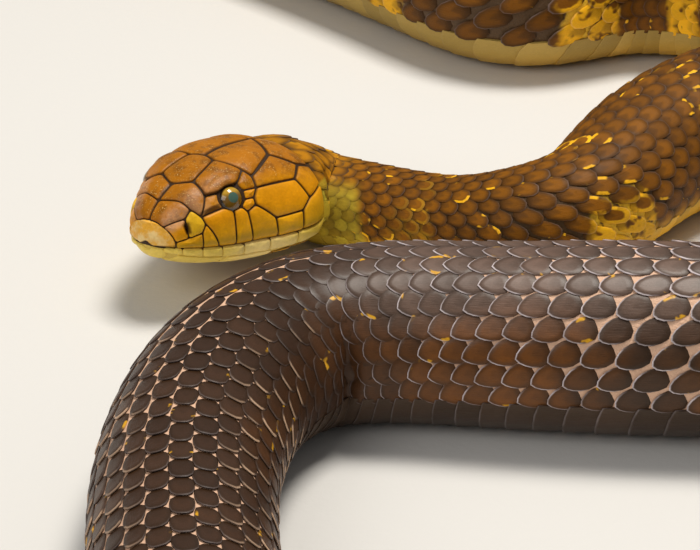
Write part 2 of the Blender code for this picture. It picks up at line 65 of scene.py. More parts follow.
@dataclass(frozen=True)
class Profile:
    """A smooth curve through stations that doesn't swing past them."""

    stations: tuple[float, ...]
    values: tuple[float, ...]

    def __call__(self, at: Array) -> Array:
        """Value by cubics whose slope at a station is the harmonic mean of its sides.

        Args:
            at: places along the curve.

        Returns:
            The values there.
        """
        x, y = np.array(self.stations), np.array(self.values)
        at = np.clip(at, x[0], x[-1])
        step, slope = np.diff(x), np.diff(y) / np.diff(x)
        product, total = slope[1:] * slope[:-1], slope[1:] + slope[:-1]
        mean = np.where(product > 0, 2 * product / np.where(product > 0, total, 1), 0)
        slopes = np.concatenate([slope[:1], mean, slope[-1:]])
        i = np.clip(np.searchsorted(x, at, side="right") - 1, 0, len(step) - 1)
        t = (at - x[i]) / step[i]
        return ((1 + 2 * t) * (1 - t) ** 2 * y[i] + t * (1 - t) ** 2 * step[i] * slopes[i]
                + t * t * (3 - 2 * t) * y[i + 1] - t * t * (1 - t) * step[i] * slopes[i + 1])


def ease(low: float, high: float, value: Array) -> Array:
    """Rise from 0 at low to 1 at high, level at both ends."""
    t = np.clip((np.asarray(value, float) - low) / (high - low), 0, 1)
    return t * t * (3 - 2 * t)


def wrap(angle: Array) -> Array:
    """The same angle, from -pi up to just under pi."""
    return (angle + math.pi) % (2 * math.pi) - math.pi


REACH = (0.0, 2.0, 5.0, 9.0, 14.0, 20.0, 28.0, 36.0, 46.0, 58.0, 66.0)


@dataclass(frozen=True)
class HeadForm:
    """The head: arches from lip to lip over the crown, and under the chin, along its reach."""

    scale: float = 0.97
    turn: Triple = (52.0, 7.7, -4.1)   # yaw, pitch, roll in degrees
    snout: Triple = (-63.2, 28.7, 25.0)
    end: float = 66.0
    crown_x: Profile = Profile(REACH, (0, .1, .9, 2.5, 6.6, 12, 19.6, 27.6, 38.2, 52, 62))
    crown_z: Profile = Profile(REACH, (0, 2.2, 5.4, 9.6, 13.8, 17.2, 20.8, 22.9, 24.2, 23.4, 20.6))
    lip_x: Profile = Profile(REACH, (0, .5, 1.6, 4.2, 8.6, 14.3, 22.2, 30.2, 40.5, 53, 62))
    lip_y: Profile = Profile(REACH, (0, 2.2, 5.2, 9.2, 12.8, 16, 19.3, 22, 25, 26.6, 24.2))
    lip_z: Profile = Profile(REACH, (0, -.2, -.3, -.4, -.8, -1.2, -1.5, -1.3, -1.2, -.7, .3))
    chin_x: Profile = Profile(REACH, (.6, 1.2, 3, 6.6, 11.5, 17.4, 25.2, 33.2, 43, 54, 62))
    chin_z: Profile = Profile(REACH, (-.8, -2, -3.9, -5.7, -7.2, -8.4, -9.8, -10.4, -10.8, -10.4, -9.8))
    crown_box: Profile = Profile(REACH, (2, 2, 2.1, 2.4, 2.7, 2.8, 2.8, 2.8, 2.6, 2.4, 2.2))
    chin_box: Profile = Profile(REACH, (2, 2, 2, 2.1, 2.2, 2.3, 2.3, 2.3, 2.3, 2.2, 2.1))

    @property
    def nape(self) -> Triple:
        """Place, middle height and half height of the section where the stiff head ends."""
        top, low = self.crown_z.values[-1], self.chin_z.values[-1]
        return self.crown_x.values[-1], (top + low) / 2, (top - low) / 2

    def local(self, reach: Array, angle: Array) -> Array:
        """Point on the head in its own axes.

        From the lip to the crown or chin the section is a quarter of a superellipse: the height is
        the power 2/box of the cosine, the width the same power of the sine.

        Args:
            reach: distance from the tip of the mouth line.
            angle: angle from the crown.

        Returns:
            Rows of back, left, up.
        """
        reach, angle = np.broadcast_arrays(np.asarray(reach, float), np.asarray(angle, float))
        up, side = np.cos(angle), np.sin(angle)
        above = up >= 0
        power = 2 / np.where(above, self.crown_box(reach), self.chin_box(reach))
        far_x = np.where(above, self.crown_x(reach), self.chin_x(reach))
        far_z = np.where(above, self.crown_z(reach), self.chin_z(reach))
        lip_x, lip_z = self.lip_x(reach), self.lip_z(reach)
        rise = np.abs(up) ** power
        wide = self.lip_y(reach) * np.sign(side) * np.abs(side) ** power
        return np.stack([lip_x + (far_x - lip_x) * rise, wide, lip_z + (far_z - lip_z) * rise], -1)

    def to_world(self, points: Array) -> Array:
        """Turn and place points of the head's own axes.

        Args:
            points: rows of back, left, up.

        Returns:
            The same points in the part's frame.
        """
        yaw, pitch, roll = (math.radians(a) for a in self.turn)
        turn = np.array(Matrix.Rotation(yaw, 3, "Z") @ Matrix.Rotation(pitch, 3, "Y")
                        @ Matrix.Rotation(roll, 3, "X"))
        flat = np.asarray(points, float) * self.scale * (1, -1, 1)
        return flat @ turn.T + np.array(self.snout) + PLACE


# The body's course over the floor, before it is placed
ROUTE = (
    (-20, 82.5), (-11, 85), (0, 82.5), (12, 77), (25, 71), (39, 65.5), (51, 62.8), (62.5, 63),
    (74.5, 68.5), (85, 81), (96.5, 98.5), (111, 114), (132, 130), (150.5, 152), (157, 182),
    (149.5, 212), (122, 232.5), (90, 234.5), (60, 226), (28, 251), (-11, 291), (-62, 338),
    (-112, 395), (-138, 466), (-118, 542), (-54, 592), (40, 604), (150, 586), (262, 536), (360, 458),
    (424, 352), (440, 238), (408, 130), (340, 46), (240, -16), (160, -37.5), (104, -38.5),
    (45, -33.5), (14, -30.5), (-10, -34.5), (-25.5, -47.5), (-36.5, -67.5), (-44, -98), (-46.6, -130),
    (-45.5, -170), (-39, -228), (-12, -288), (38, -332), (112, -350), (202, -340), (304, -312),
    (400, -270), (480, -208), (534, -126), (560, -32), (564, 66), (552, 164), (538, 262), (526, 356),
    (498, 446), (440, 520), (366, 576), (290, 624), (262, 640),
)
GIRTH = Profile(
    (60, 68, 78, 92, 120, 155, 200, 260, 320, 450, 700, 1100, 1700, 2000, 2110, 2185, 2245, 2340,
     2500, 2700, 3000, 3160, 3240, 3400, 3600, 3800, 3930, 3985, 4000),
    (23.5, 20.8, 18.0, 16.0, 16.4, 19.4, 23.5, 26.5, 26.8, 26.5, 27, 28.5, 29.2, 29.8, 30.1, 28.4,
     27.3, 27.0, 28.2, 27.5, 24.5, 22.0, 19.0, 16.5, 13.5, 9.3, 5.6, 2.8, 1.3))


def free_spline(knots: Array, values: Array, at: Array) -> Array:
    """Cubic spline with free ends.

    Args:
        knots: places of the values.
        values: one row for each knot.
        at: places asked.

    Returns:
        One row for each place.
    """
    n, h = len(knots), np.diff(knots)
    inner = np.arange(1, n - 1)
    a, b = np.eye(n), np.zeros((n, values.shape[1]))
    a[inner, inner - 1], a[inner, inner], a[inner, inner + 1] = h[:-1], 2 * (h[:-1] + h[1:]), h[1:]
    b[1:-1] = 6 * np.diff(np.diff(values, axis=0) / h[:, None], axis=0)
    c = np.linalg.solve(a, b)
    i = np.clip(np.searchsorted(knots, at, side="right") - 1, 0, n - 2)
    t, u, g = (at - knots[i])[:, None], (knots[i + 1] - at)[:, None], h[i][:, None]
    return ((c[i] * u ** 3 + c[i + 1] * t ** 3) / (6 * g)
            + (values[i] / g - c[i] * g / 6) * u + (values[i + 1] / g - c[i + 1] * g / 6) * t)


def arc(points: Array, power: float = 1.0) -> Array:
    """Length along a line of points up to each of them, by a power of each gap."""
    return np.concatenate([[0.0], np.cumsum(np.linalg.norm(np.diff(points, axis=0), axis=1) ** power)])


def unit(rows: Array) -> Array:
    """Rows scaled to length 1."""
    return rows / np.maximum(np.linalg.norm(rows, axis=-1, keepdims=True), 1e-9)


@dataclass
class BodyForm:
    """The body behind the head: an ellipse with a flat belly, carried along its route."""

    head: HeadForm
    length: float = 4000.0
    depth: float = 0.97                  # height over width of the section
    neck_depth: float = 0.87
    neck_ends: Pair = (112.0, 165.0)
    belly_lift: float = 0.93             # height of the axis over the half height
    inner_limit: float = 0.75            # half width over the radius of a bend, at most
    neck_waist: float = 92.0
    neck_fall: float = 24.0              # from the head's height down to the floor's
    neck_match: float = 30.0             # from the head's half height to the body's own
    roll_fade: float = 60.0
    head_axis: Pair = (20.0, 36.0)
    fold_length: float = 60.0
    fold_spread: float = 0.12
    table: dict[str, Array] = field(default_factory=dict)

    SAMPLES = 8000       # points along the spline
    STEP = 0.5           # between the table's stations
    MARGIN = (4, 8)      # of the table before the neck and after the tail
    BEND_REACH = 6       # to each side, over which a bend is measured
    HOLD = 6             # power by which the inner side of a bend nears its limit

    def __post_init__(self) -> None:
        """Work out the axis, its heading and its bend once for every station of the table."""
        back, middle, _ = self.head.nape
        axis = self.head.to_world([(x, 0.0, middle) for x in (*self.head_axis, back)])
        plan = np.vstack([axis[:, :2], np.array(ROUTE) + PLACE[:2]])
        knots = arc(plan, 0.5)
        dense = free_spline(knots, plan, np.linspace(0, knots[-1], self.SAMPLES))
        run = arc(dense) + self.head_axis[0] * self.head.scale
        self.start = back * self.head.scale
        self.lift = float(axis[2, 2])
        self.head_end = axis[2]
        self.head_back = unit(axis[2] - axis[0])
        s = np.arange(self.start - self.MARGIN[0], self.length + self.MARGIN[1], self.STEP)
        centre = self._centre(s, run, dense)
        along = unit(self._centre(s + 1, run, dense) - self._centre(s - 1, run, dense))
        left = unit(np.cross(along, (0.0, 0.0, 1.0)))
        up = np.cross(left, along)
        roll = np.clip(1 - (s - self.start) / self.roll_fade, 0, 1)[:, None]
        roll = math.radians(self.head.turn[2]) * roll
        left, up = left * np.cos(roll) + up * np.sin(roll), up * np.cos(roll) - left * np.sin(roll)
        before = centre - self._centre(s - self.BEND_REACH, run, dense)
        after = self._centre(s + self.BEND_REACH, run, dense) - centre
        cross = before[:, 0] * after[:, 1] - before[:, 1] * after[:, 0]
        bend = -np.arctan2(cross, (before[:, :2] * after[:, :2]).sum(1)) / self.BEND_REACH
        self.table = {"s": s, "centre": centre, "left": left, "up": up, "bend": bend,
                      "wide": GIRTH(s), "high": self._half_height(s)}

    def _half_height(self, s: Array) -> Array:
        """Half height of the body, the head's at the nape and its own further back.

        Args:
            s: distance from the snout.

        Returns:
            The half height there.
        """
        t = np.clip((s - self.start) / self.neck_match, 0, 1)
        depth = self.neck_depth + (self.depth - self.neck_depth) * ease(*self.neck_ends, s)
        own = depth * GIRTH(np.maximum(s, self.neck_waist))
        return own * t + self.head.nape[2] * self.head.scale * (1 - t)

    def _centre(self, s: Array, run: Array, dense: Array) -> Array:
        """Middle of the section at each station, down from the head's height to the floor's.

        Args:
            s: distance from the snout.
            run: distance of each point of the spline.
            dense: the spline's points.

        Returns:
            Rows of three.
        """
        xy = np.stack([np.interp(s, run, dense[:, k]) for k in (0, 1)], -1)
        ground = self._half_height(s) * self.belly_lift
        fall = 1 - ease(self.start, self.start + self.neck_fall, s)
        return np.concatenate([xy, (ground + (self.lift - ground) * fall)[:, None]], -1)

    def point(self, station: Array, angle: Array) -> Array:
        """Point on the body.

        The section is an ellipse. Its inner side is held back where the bend is tighter than it is
        wide, the fold behind the head stays clear of the head, and nothing is below the floor.

        Args:
            station: distance from the snout.
            angle: angle from the crown.

        Returns:
            Points, one row of three for each place.
        """
        s, table = np.ravel(station), self.table
        at = np.clip((s - table["s"][0]) / self.STEP, 0, len(table["s"]) - 1.001)
        low = at.astype(int)
        share = at - low
        look = {k: (v[low].T * (1 - share) + v[low + 1].T * share).T for k, v in table.items()}
        across, bend = np.sin(np.ravel(angle)) * look["wide"], look["bend"]
        limit = self.inner_limit / np.maximum(np.abs(bend), 1e-5)
        held = across / (1 + (np.abs(across) / limit) ** self.HOLD) ** (1 / self.HOLD)
        across = np.where(across * bend > 0, held, across)
        point = (look["centre"] + across[:, None] * look["left"]
                 + (np.cos(np.ravel(angle)) * look["high"])[:, None] * look["up"])
        ahead = s - self.start
        room = self.fold_spread * ahead
        behind = (point - self.head_end) @ self.head_back
        push = np.where(ahead < self.fold_length, np.maximum(room - behind, 0), 0)
        point += push[:, None] * self.head_back
        point[:, 2] = np.maximum(point[:, 2], 0)
        return point.reshape(*np.shape(station), 3)


@dataclass(frozen=True)
class Hollow:
    """A rounded hollow on each side: its middle and half sizes in run and degrees, and its depth."""

    run: float
    turn: float
    half_run: float
    half_turn: float
    depth: float
    square: float = 1.0

    def height(self, run: Array, turn: Array) -> Array:
        """Height of the surface, 0 outside the hollow."""
        far = ((run - self.run) / self.half_run) ** 2 + ((turn - self.turn) / self.half_turn) ** 2
        return -self.depth * np.exp(-far ** self.square)


NOSTRIL = Hollow(12.9, 66.5, 0.62, 9.5, 1.8, 1.5)
EYE_DIP = Hollow(21.5, 57.0, 3.2, 4.0, 0.7)


@dataclass
class SnakeForm:
    """The whole smooth surface, head and body in one."""

    head: HeadForm = field(default_factory=HeadForm)
    neck_blend: float = 16.0
    sink: float = 0.028                # depth of the skin under the outline over the girth
    sink_begins: Pair = (60.0, 72.0)   # runs between which it sinks
    mouth: Pair = (0.9, 0.6)           # the groove's half width in degrees, and its depth
    mouth_begins: Pair = (0.0, 1.5)
    mouth_ends: Pair = (60.0, 66.0)
    probe: Pair = (0.4, 0.02)          # steps in run and angle to find a direction

    def __post_init__(self) -> None:
        """Make the body that follows this head."""
        self.body = BodyForm(self.head)
        self.offset = self.head.end - self.body.start
        self.end = self.body.length + self.offset

    def point(self, run: Array, angle: Array) -> Array:
        """Point on the snake, the head's last section fading into the neck's first ones.

        Args:
            run: distance along the back from the mouth's tip.
            angle: angle from the crown.

        Returns:
            Points, one row of three for each place.
        """
        run, angle = np.broadcast_arrays(np.asarray(run, float), np.asarray(angle, float))
        out, end = np.empty((*run.shape, 3)), self.head.end
        front, rear = run < end + self.neck_blend, run > end
        reach = np.minimum(run[front], end)
        beyond = (run[front] - reach)[:, None] * self.body.head_back
        out[front] = self.head.to_world(self.head.local(reach, angle[front])) + beyond
        own = self.body.point(run[rear] - self.offset, angle[rear])
        share = ease(end, end + self.neck_blend, run[rear])[:, None]
        out[rear] = np.where(front[rear][:, None], out[rear] * (1 - share) + own * share, own)
        return out

    def frame(self, run: Array, angle: Array) -> tuple[Array, Array, Array]:
        """Point, way out, and size of a step.

        Args:
            run: distance along the back.
            angle: angle from the crown.

        Returns:
            Point, unit normal, and the mm covered by a unit of run and by a radian.
        """
        step, turn = self.probe
        low = np.maximum(run - step, 0.02)
        along = self.point(run + step, angle) - self.point(low, angle)
        round_ = self.point(run, angle + turn) - self.point(run, angle - turn)
        stretch = np.linalg.norm(along, axis=-1) / (run + step - low)
        girth = np.linalg.norm(round_, axis=-1) / (2 * turn)
        return self.point(run, angle), unit(np.cross(round_, along)), np.stack([stretch, girth], -1)

    def raised(self, run: Array, angle: Array, height: Array) -> Array:
        """Point at a height over the smooth surface and its hollows, never below the floor.

        Args:
            run: distance along the back.
            angle: angle from the crown.
            height: mm above the surface.

        Returns:
            Points, one row of three for each place.
        """
        point, normal, _ = self.frame(run, angle)
        point = point + normal * (height + self.relief(run, angle))[..., None]
        point[..., 2] = np.maximum(point[..., 2], 0)
        return point

    def relief(self, run: Array, angle: Array) -> Array:
        """Height of the hollows: nostrils, a dip before each eye, the mouth, the skin under scales.

        Args:
            run: distance along the back.
            angle: angle from the crown.

        Returns:
            Height over the smooth surface, 0 or less.
        """
        turn = np.degrees(np.abs(wrap(angle)))
        half, depth = self.mouth
        mouth = np.exp(-(((turn - 90) / half) ** 2))
        mouth = mouth * ease(*self.mouth_begins, run) * (1 - ease(*self.mouth_ends, run))
        under = self.sink * GIRTH(run - self.offset) * ease(*self.sink_begins, run)
        return NOSTRIL.height(run, turn) + EYE_DIP.height(run, turn) - depth * mouth - under


SNAKE = SnakeForm()


# Meshes

@dataclass
class Shape:
    """A mesh in the making: points in mm, faces, and values carried by the points."""

    points: Array
    quads: Array
    triangles: Array
    values: dict[str, Array]
    map: Array   # place on the unwrap, for each point or for each corner of the faces

    def write(self, name: str, sharp: float = 50.0) -> bpy.types.Object:
        """Put the shape into a mesh object at the origin.

        Args:
            name: the piece's name.
            sharp: angle in degrees past which an edge is sharp.

        Returns:
            The object, linked to the scene.
        """
        mesh = bpy.data.meshes.new(name)
        corners = np.concatenate([self.quads.ravel(), self.triangles.ravel()]).astype(np.int32)
        sizes = np.concatenate([np.full(len(self.quads), 4), np.full(len(self.triangles), 3)])
        mesh.vertices.add(len(self.points))
        mesh.vertices.foreach_set("co", (self.points * MM).astype(np.float32).ravel())
        mesh.loops.add(len(corners))
        mesh.loops.foreach_set("vertex_index", corners)
        mesh.polygons.add(len(sizes))
        starts = np.concatenate([[0], np.cumsum(sizes)[:-1]]).astype(np.int32)
        mesh.polygons.foreach_set("loop_start", starts)
        mesh.update(calc_edges=True)
        for key, value in self.values.items():
            layer = mesh.attributes.new(key, "FLOAT", "POINT")
            layer.data.foreach_set("value", value.astype(np.float32))
        place = self.map if len(self.map) == len(corners) else self.map[corners]
        layer = mesh.uv_layers.new(name="OFBake")
        layer.data.foreach_set("uv", place.astype(np.float32).ravel())
        mesh.shade_smooth()
        mesh.set_sharp_from_angle(angle=math.radians(sharp))
        obj = bpy.data.objects.new(name, mesh)
        bpy.context.scene.collection.objects.link(obj)
        LOG.info("%s: %d triangles", name, 2 * len(self.quads) + len(self.triangles))
        return obj


def repeated(faces: Array, times: int, step: int) -> Array:
    """The same faces once for each of many parts, with step points between them."""
    return (faces + step * np.arange(times)[:, None, None]).reshape(-1, faces.shape[1])


def closed_faces(rings: int, count: int) -> tuple[Array, Array]:
    """Faces of a grid of closed rings and its two end points, which follow the rings.

    Args:
        rings: number of rings.
        count: points in each ring.

    Returns:
        Quads of the bands, and triangles of the fan at the last ring and at the first.
    """
    here = np.arange(count)
    after, last, top = (here + 1) % count, (rings - 1) * count, rings * count
    band = np.stack([here, after, after + count, here + count], 1)
    fan = np.stack([here + last, after + last, np.full(count, top)], 1)
    foot = np.stack([after, here, np.full(count, top + 1)], 1)
    return repeated(band, rings - 1, count), np.concatenate([fan, foot])


STRIPS = 16          # the unwrap lays the snake out in this many strips, one above another
STRIP_MARGIN = 0.02
STRIP_WIDTH = 0.94
PATCH = 0.003        # width of a scale's place on the unwrap
SHIELD_RUN = 70.0    # run that the unwrap of the shields spans


def unwrap(run: Array, angle: Array, strip: Array | None = None) -> Array:
    """Place on the unwrap of the skin: along the strip for the run, across it for the angle.

    Args:
        run: distance along the back.
        angle: angle from the crown, from -pi to pi.
        strip: which strip, where the run alone doesn't say.

    Returns:
        Rows of two numbers between 0 and 1.
    """
    length = SNAKE.end / STRIPS
    strip = np.floor(run / length) if strip is None else strip
    along = STRIP_MARGIN + (run / length - strip) * (1 - 2 * STRIP_MARGIN)
    return np.stack([along, (strip + 0.5 + angle / (2 * math.pi) * STRIP_WIDTH) / STRIPS], -1)


@dataclass
class Plates:
    """Many plates of one build: an outline each, and the same rings from the root to the middle.

    A plate is a polar grid: every ring is the outline drawn in towards the middle, at its own height
    over the skin, closed by a fan at the top and another at the root. A tier holds for one ring how
    far it is in from the rim, the share of what is left, and its height.
    """

    middle: Array          # run and angle of each plate's middle
    outline: Array         # run and angle round each plate
    tiers: tuple[Triple, ...]
    rise: Array            # height of each plate
    lean: Array            # mm that each outline point is raised by the plate's slope
    values: dict[str, Array]
    patch: float = PATCH   # width of a plate's place on the unwrap, 0 for its true size
    crown: float = 1.0     # height of the middle over the last ring's

    LEAST = 0.3            # share of the outline that a ring keeps at least

    def __post_init__(self) -> None:
        """Turn the outlines that run the wrong way round, so that every face looks outwards."""
        ahead = np.roll(self.outline, -1, 1)
        area = (self.outline[..., 0] * ahead[..., 1] - self.outline[..., 1] * ahead[..., 0]).sum(1)
        wrong = area > 0
        self.outline[wrong] = self.outline[wrong, ::-1]
        self.lean[wrong] = self.lean[wrong, ::-1]

    def shape(self) -> Shape:
        """Work out every point of every plate at once.

        Returns:
            The plates as one shape.
        """
        plates, count = self.outline.shape[:2]
        inset, kept, level = np.array(self.tiers).T[:, None, :, None]
        spoke = self.outline - self.middle[:, None]
        length = np.linalg.norm(spoke * SNAKE.frame(*self.middle.T)[2][:, None], axis=-1)
        share = np.maximum(1 - inset / np.maximum(length, 0.05)[:, None], self.LEAST) * kept
        place = self.middle[:, None, None] + spoke[:, None] * share[..., None]
        height = self.rise[:, None, None] * level + self.lean[:, None] * share
        top = self.rise * self.tiers[-1][2] * self.crown
        root = self.rise * self.tiers[0][2] + self.lean.mean(1)
        place = np.concatenate([place.reshape(plates, -1, 2), np.repeat(self.middle[:, None], 2, 1)], 1)
        height = np.concatenate([height.reshape(plates, -1), np.stack([top, root], 1)], 1)
        flat = np.zeros((plates, 2))
        mark = np.concatenate([share.reshape(plates, -1), flat], 1)
        tail = np.concatenate([np.tile(self.lean, (1, len(self.tiers))), flat], 1)
        step = place.shape[1]
        faces = [repeated(part, plates, step) for part in closed_faces(len(self.tiers), count)]
        turn = wrap(place[..., 1])
        values = {"run": place[..., 0].ravel() * MM, "side": np.abs(turn).ravel(), "rim": mark.ravel(),
                  "tail": tail.ravel()}
        values |= {k: np.repeat(v, step) for k, v in self.values.items()}
        points = SNAKE.raised(place[..., 0].ravel(), place[..., 1].ravel(), height.ravel())
        return Shape(points, *faces, values, self._map(place, turn).reshape(-1, 2))

    def _map(self, place: Array, turn: Array) -> Array:
        """Each plate's patch on the unwrap, at the place of its middle.

        Args:
            place: run and angle of every point.
            turn: the angle again, from -pi to pi.

        Returns:
            Rows of two numbers for each plate.
        """
        if not self.patch:
            whole = np.stack([place[..., 0] / SHIELD_RUN, 0.5 + turn / (2 * math.pi)], -1)
            return whole * (1 - 2 * STRIP_MARGIN) + STRIP_MARGIN
        local = place - self.middle[:, None]
        local = local / np.abs(local).max(1, keepdims=True)
        return unwrap(self.middle[:, 0], wrap(self.middle[:, 1]))[:, None] + local * self.patch / 2


# Scales

SPREAD = Profile((66, 200, 400, 1950, 2060, 2108, 2135, 2172, 2200, 2240, 2300, 2420, 2600, 3000),
                 (1.12, 1.08, 1.02, 1.0, 1.04, 1.10, 1.00, 0.77, 0.82, 1.05, 1.18, 1.18, 1.06, 1.0))
FULLNESS = Profile((66, 300, 1000, 2060, 2108, 2150, 2200, 2250, 2420, 2600, 3000),
                   (1.16, 1.14, 1.08, 1.04, 1.00, 1.10, 1.12, 1.06, 1.05, 1.06, 1.06))
TILT = Profile((66, 300, 1000, 2100, 2200, 2260, 2420, 2600), (20, 22, 22, 24, 20, 3, 3, 20))
SQUARE = Profile((66, 300, 500, 2100, 2190, 2250, 2420, 2600), (0.75, 0.7, 0.3, 0.2, 0, 0.7, 0.7, 0.3))
THINNING = Profile((66, 1900, 2130, 2260, 2420, 2700), (0.05, 0.05, 0.3, 1.4, 1.4, 0.1))


@dataclass
class ScaleRows:
    """Rows of overlapping scales along the back, each row half a step from its neighbours.

    Profiles along the body say how the coat changes: `SPREAD` how far the scales of a row are drawn
    apart, `FULLNESS` how wide a scale is for its row, `TILT` how many degrees it points down to the
    belly, and `SQUARE` whether it is egg shaped (0) or nearly a rectangle (1). Where a bend stretches
    the skin a scale is longer, and by `THINNING` narrower.
    """

    name: str
    begin: float
    end: float
    rows: int = 15
    span: float = 110.0         # degrees that the rows cover on each side of the spine
    from_angle: float = 0.0     # middle of the rows, from the crown
    points: int = 12
    length_share: float = 1.28  # length of a row's step over its width
    overlap: float = 1.06       # length of a scale over its row's step
    thin_limit: float = 0.18    # stretch past which a scale gets no narrower
    stretch_limits: Pair = (-0.3, 0.8)
    stretch_share: float = 0.8  # how much of the skin's stretch a scale follows
    large: float = 0.7          # how much the spine's scales grow where they lie apart
    large_turn: Pair = (0.5, 1.1)
    large_until: Pair = (2140.0, 2230.0)
    widest: float = 0.12        # extra width of the lowest rows
    jitter: float = 0.05        # random change of a scale's size
    wander: float = 0.04        # random change of its tilt in radians
    whole_tilt: float = 3.0     # rows from the spine to where the tilt is whole
    full_size: float = 6.0      # half length in mm of a scale that has this rise and lean:
    rise: float = 0.38
    lean: Pair = (0.26, 0.34)   # its middle's, and how much more at its free end
    press: float = 1.6          # how much less it leans where it is drawn and thinned
    seed: int = 7

    TIERS = ((0, 1, -0.30), (0, 1, 0.40), (0.30, 1, 0.85), (0.5, 0.60, 1.12))
    # Power of the outline's curve for an egg, and how much more it is for a rectangle
    FREE_POWER, ROOT_POWER = (1.45, 2.0), (2.7, 1.2)
    NARROWER = 0.14             # how much narrower an egg is at its free end

    def columns(self) -> tuple[Array, Array]:
        """Runs of the scales in a row, spaced by steps that follow the girth.

        Returns:
            The runs and the step at each.
        """
        run, step, turns = [self.begin], [], np.linspace(0, math.pi, 8)
        share = math.radians(2 * self.span) / self.rows * self.length_share
        while run[-1] < self.end:
            girth = SNAKE.frame(np.full(8, run[-1]), turns)[2][:, 1].mean()
            step.append(float(girth * share * SPREAD(np.array(run[-1]))))
            run.append(run[-1] + step[-1])
        return np.array(run[:-1]), np.array(step)

    def build(self) -> Plates:
        """Lay out the scales.

        Returns:
            The rows as plates.
        """
        rng = np.random.default_rng(self.seed)
        run, step = self.columns()
        row = np.arange(self.rows) - (self.rows - 1) / 2
        rows, width = np.tile(row, len(run)), math.radians(2 * self.span) / self.rows
        place = np.broadcast_arrays(run[:, None] + step[:, None] * 0.5 * (row % 2 == row[0] % 2),
                                    math.radians(self.from_angle) + row[None, :] * width)
        middle = np.stack(place, -1).reshape(-1, 2)
        count, at = len(middle), middle[:, 0]
        stretch, girth = SNAKE.frame(*middle.T)[2].T
        stretch = np.maximum(stretch, 0.4)
        drawn = np.clip(stretch - 1, *self.stretch_limits)
        apart = np.maximum(SPREAD(at) - 1, 0)
        spine = 1 - ease(*self.large_turn, np.abs(middle[:, 1]))
        spine = 1 + self.large * apart * spine * (1 - ease(*self.large_until, at))
        length = np.repeat(step / SPREAD(run), self.rows) * self.overlap / 2
        length = length * (1 + apart) * (1 + self.stretch_share * drawn) * spine
        thinner = THINNING(at) * np.minimum(drawn, self.thin_limit)
        breadth = girth * width / 2 * FULLNESS(at) * (1 - thinner) * spine
        breadth = breadth * (1 + self.widest * (np.abs(rows) == row[-1]))
        length = length * rng.uniform(1 - self.jitter, 1 + self.jitter, count)
        breadth = breadth * rng.uniform(1 - self.jitter, 1 + self.jitter, count)
        along, across = self.egg(SQUARE(at)[:, None])
        x, y = length[:, None] * along, breadth[:, None] * across
        tilt = np.radians(TILT(at)) * np.clip(rows / self.whole_tilt, -1, 1)
        tilt = (tilt + rng.normal(0, self.wander, count))[:, None]
        x, y = x * np.cos(tilt) - y * np.sin(tilt), x * np.sin(tilt) + y * np.cos(tilt)
        outline = middle[:, None] + np.stack([x, y], -1) / np.stack([stretch, girth], -1)[:, None]
        size = length / self.full_size
        lean = size * (1 - self.press * np.maximum(drawn, 0) * THINNING(at))
        lean = lean[:, None] * (self.lean[1] * along + self.lean[0])
        lean = lean * rng.uniform(0.8, 1.2, count)[:, None]
        values = {"tone": rng.random(count), "kind": np.zeros(count)}
        return Plates(middle, outline, self.TIERS, self.rise * size, lean, values, crown=1.1)

    def egg(self, square: Array) -> tuple[Array, Array]:
        """Outline of a scale: a superellipse, broad at its root and drawn to a point at its free end.

        Args:
            square: 0 for an egg, 1 for nearly a rectangle.

        Returns:
            Place along and across at every point, each from -1 to 1.
        """
        turn = np.linspace(0, 2 * math.pi, self.points, endpoint=False) + 1e-3
        along, across = np.cos(turn)[None], np.sin(turn)[None]
        (free, more), (root, extra) = self.FREE_POWER, self.ROOT_POWER
        power = np.where(along > 0, free + square * more, root + square * extra)
        radius = (np.abs(along) ** power + np.abs(across) ** power) ** (-1 / power)
        along, across = along * radius, across * radius
        return along, across * (1 - self.NARROWER * (1 - square) * along)


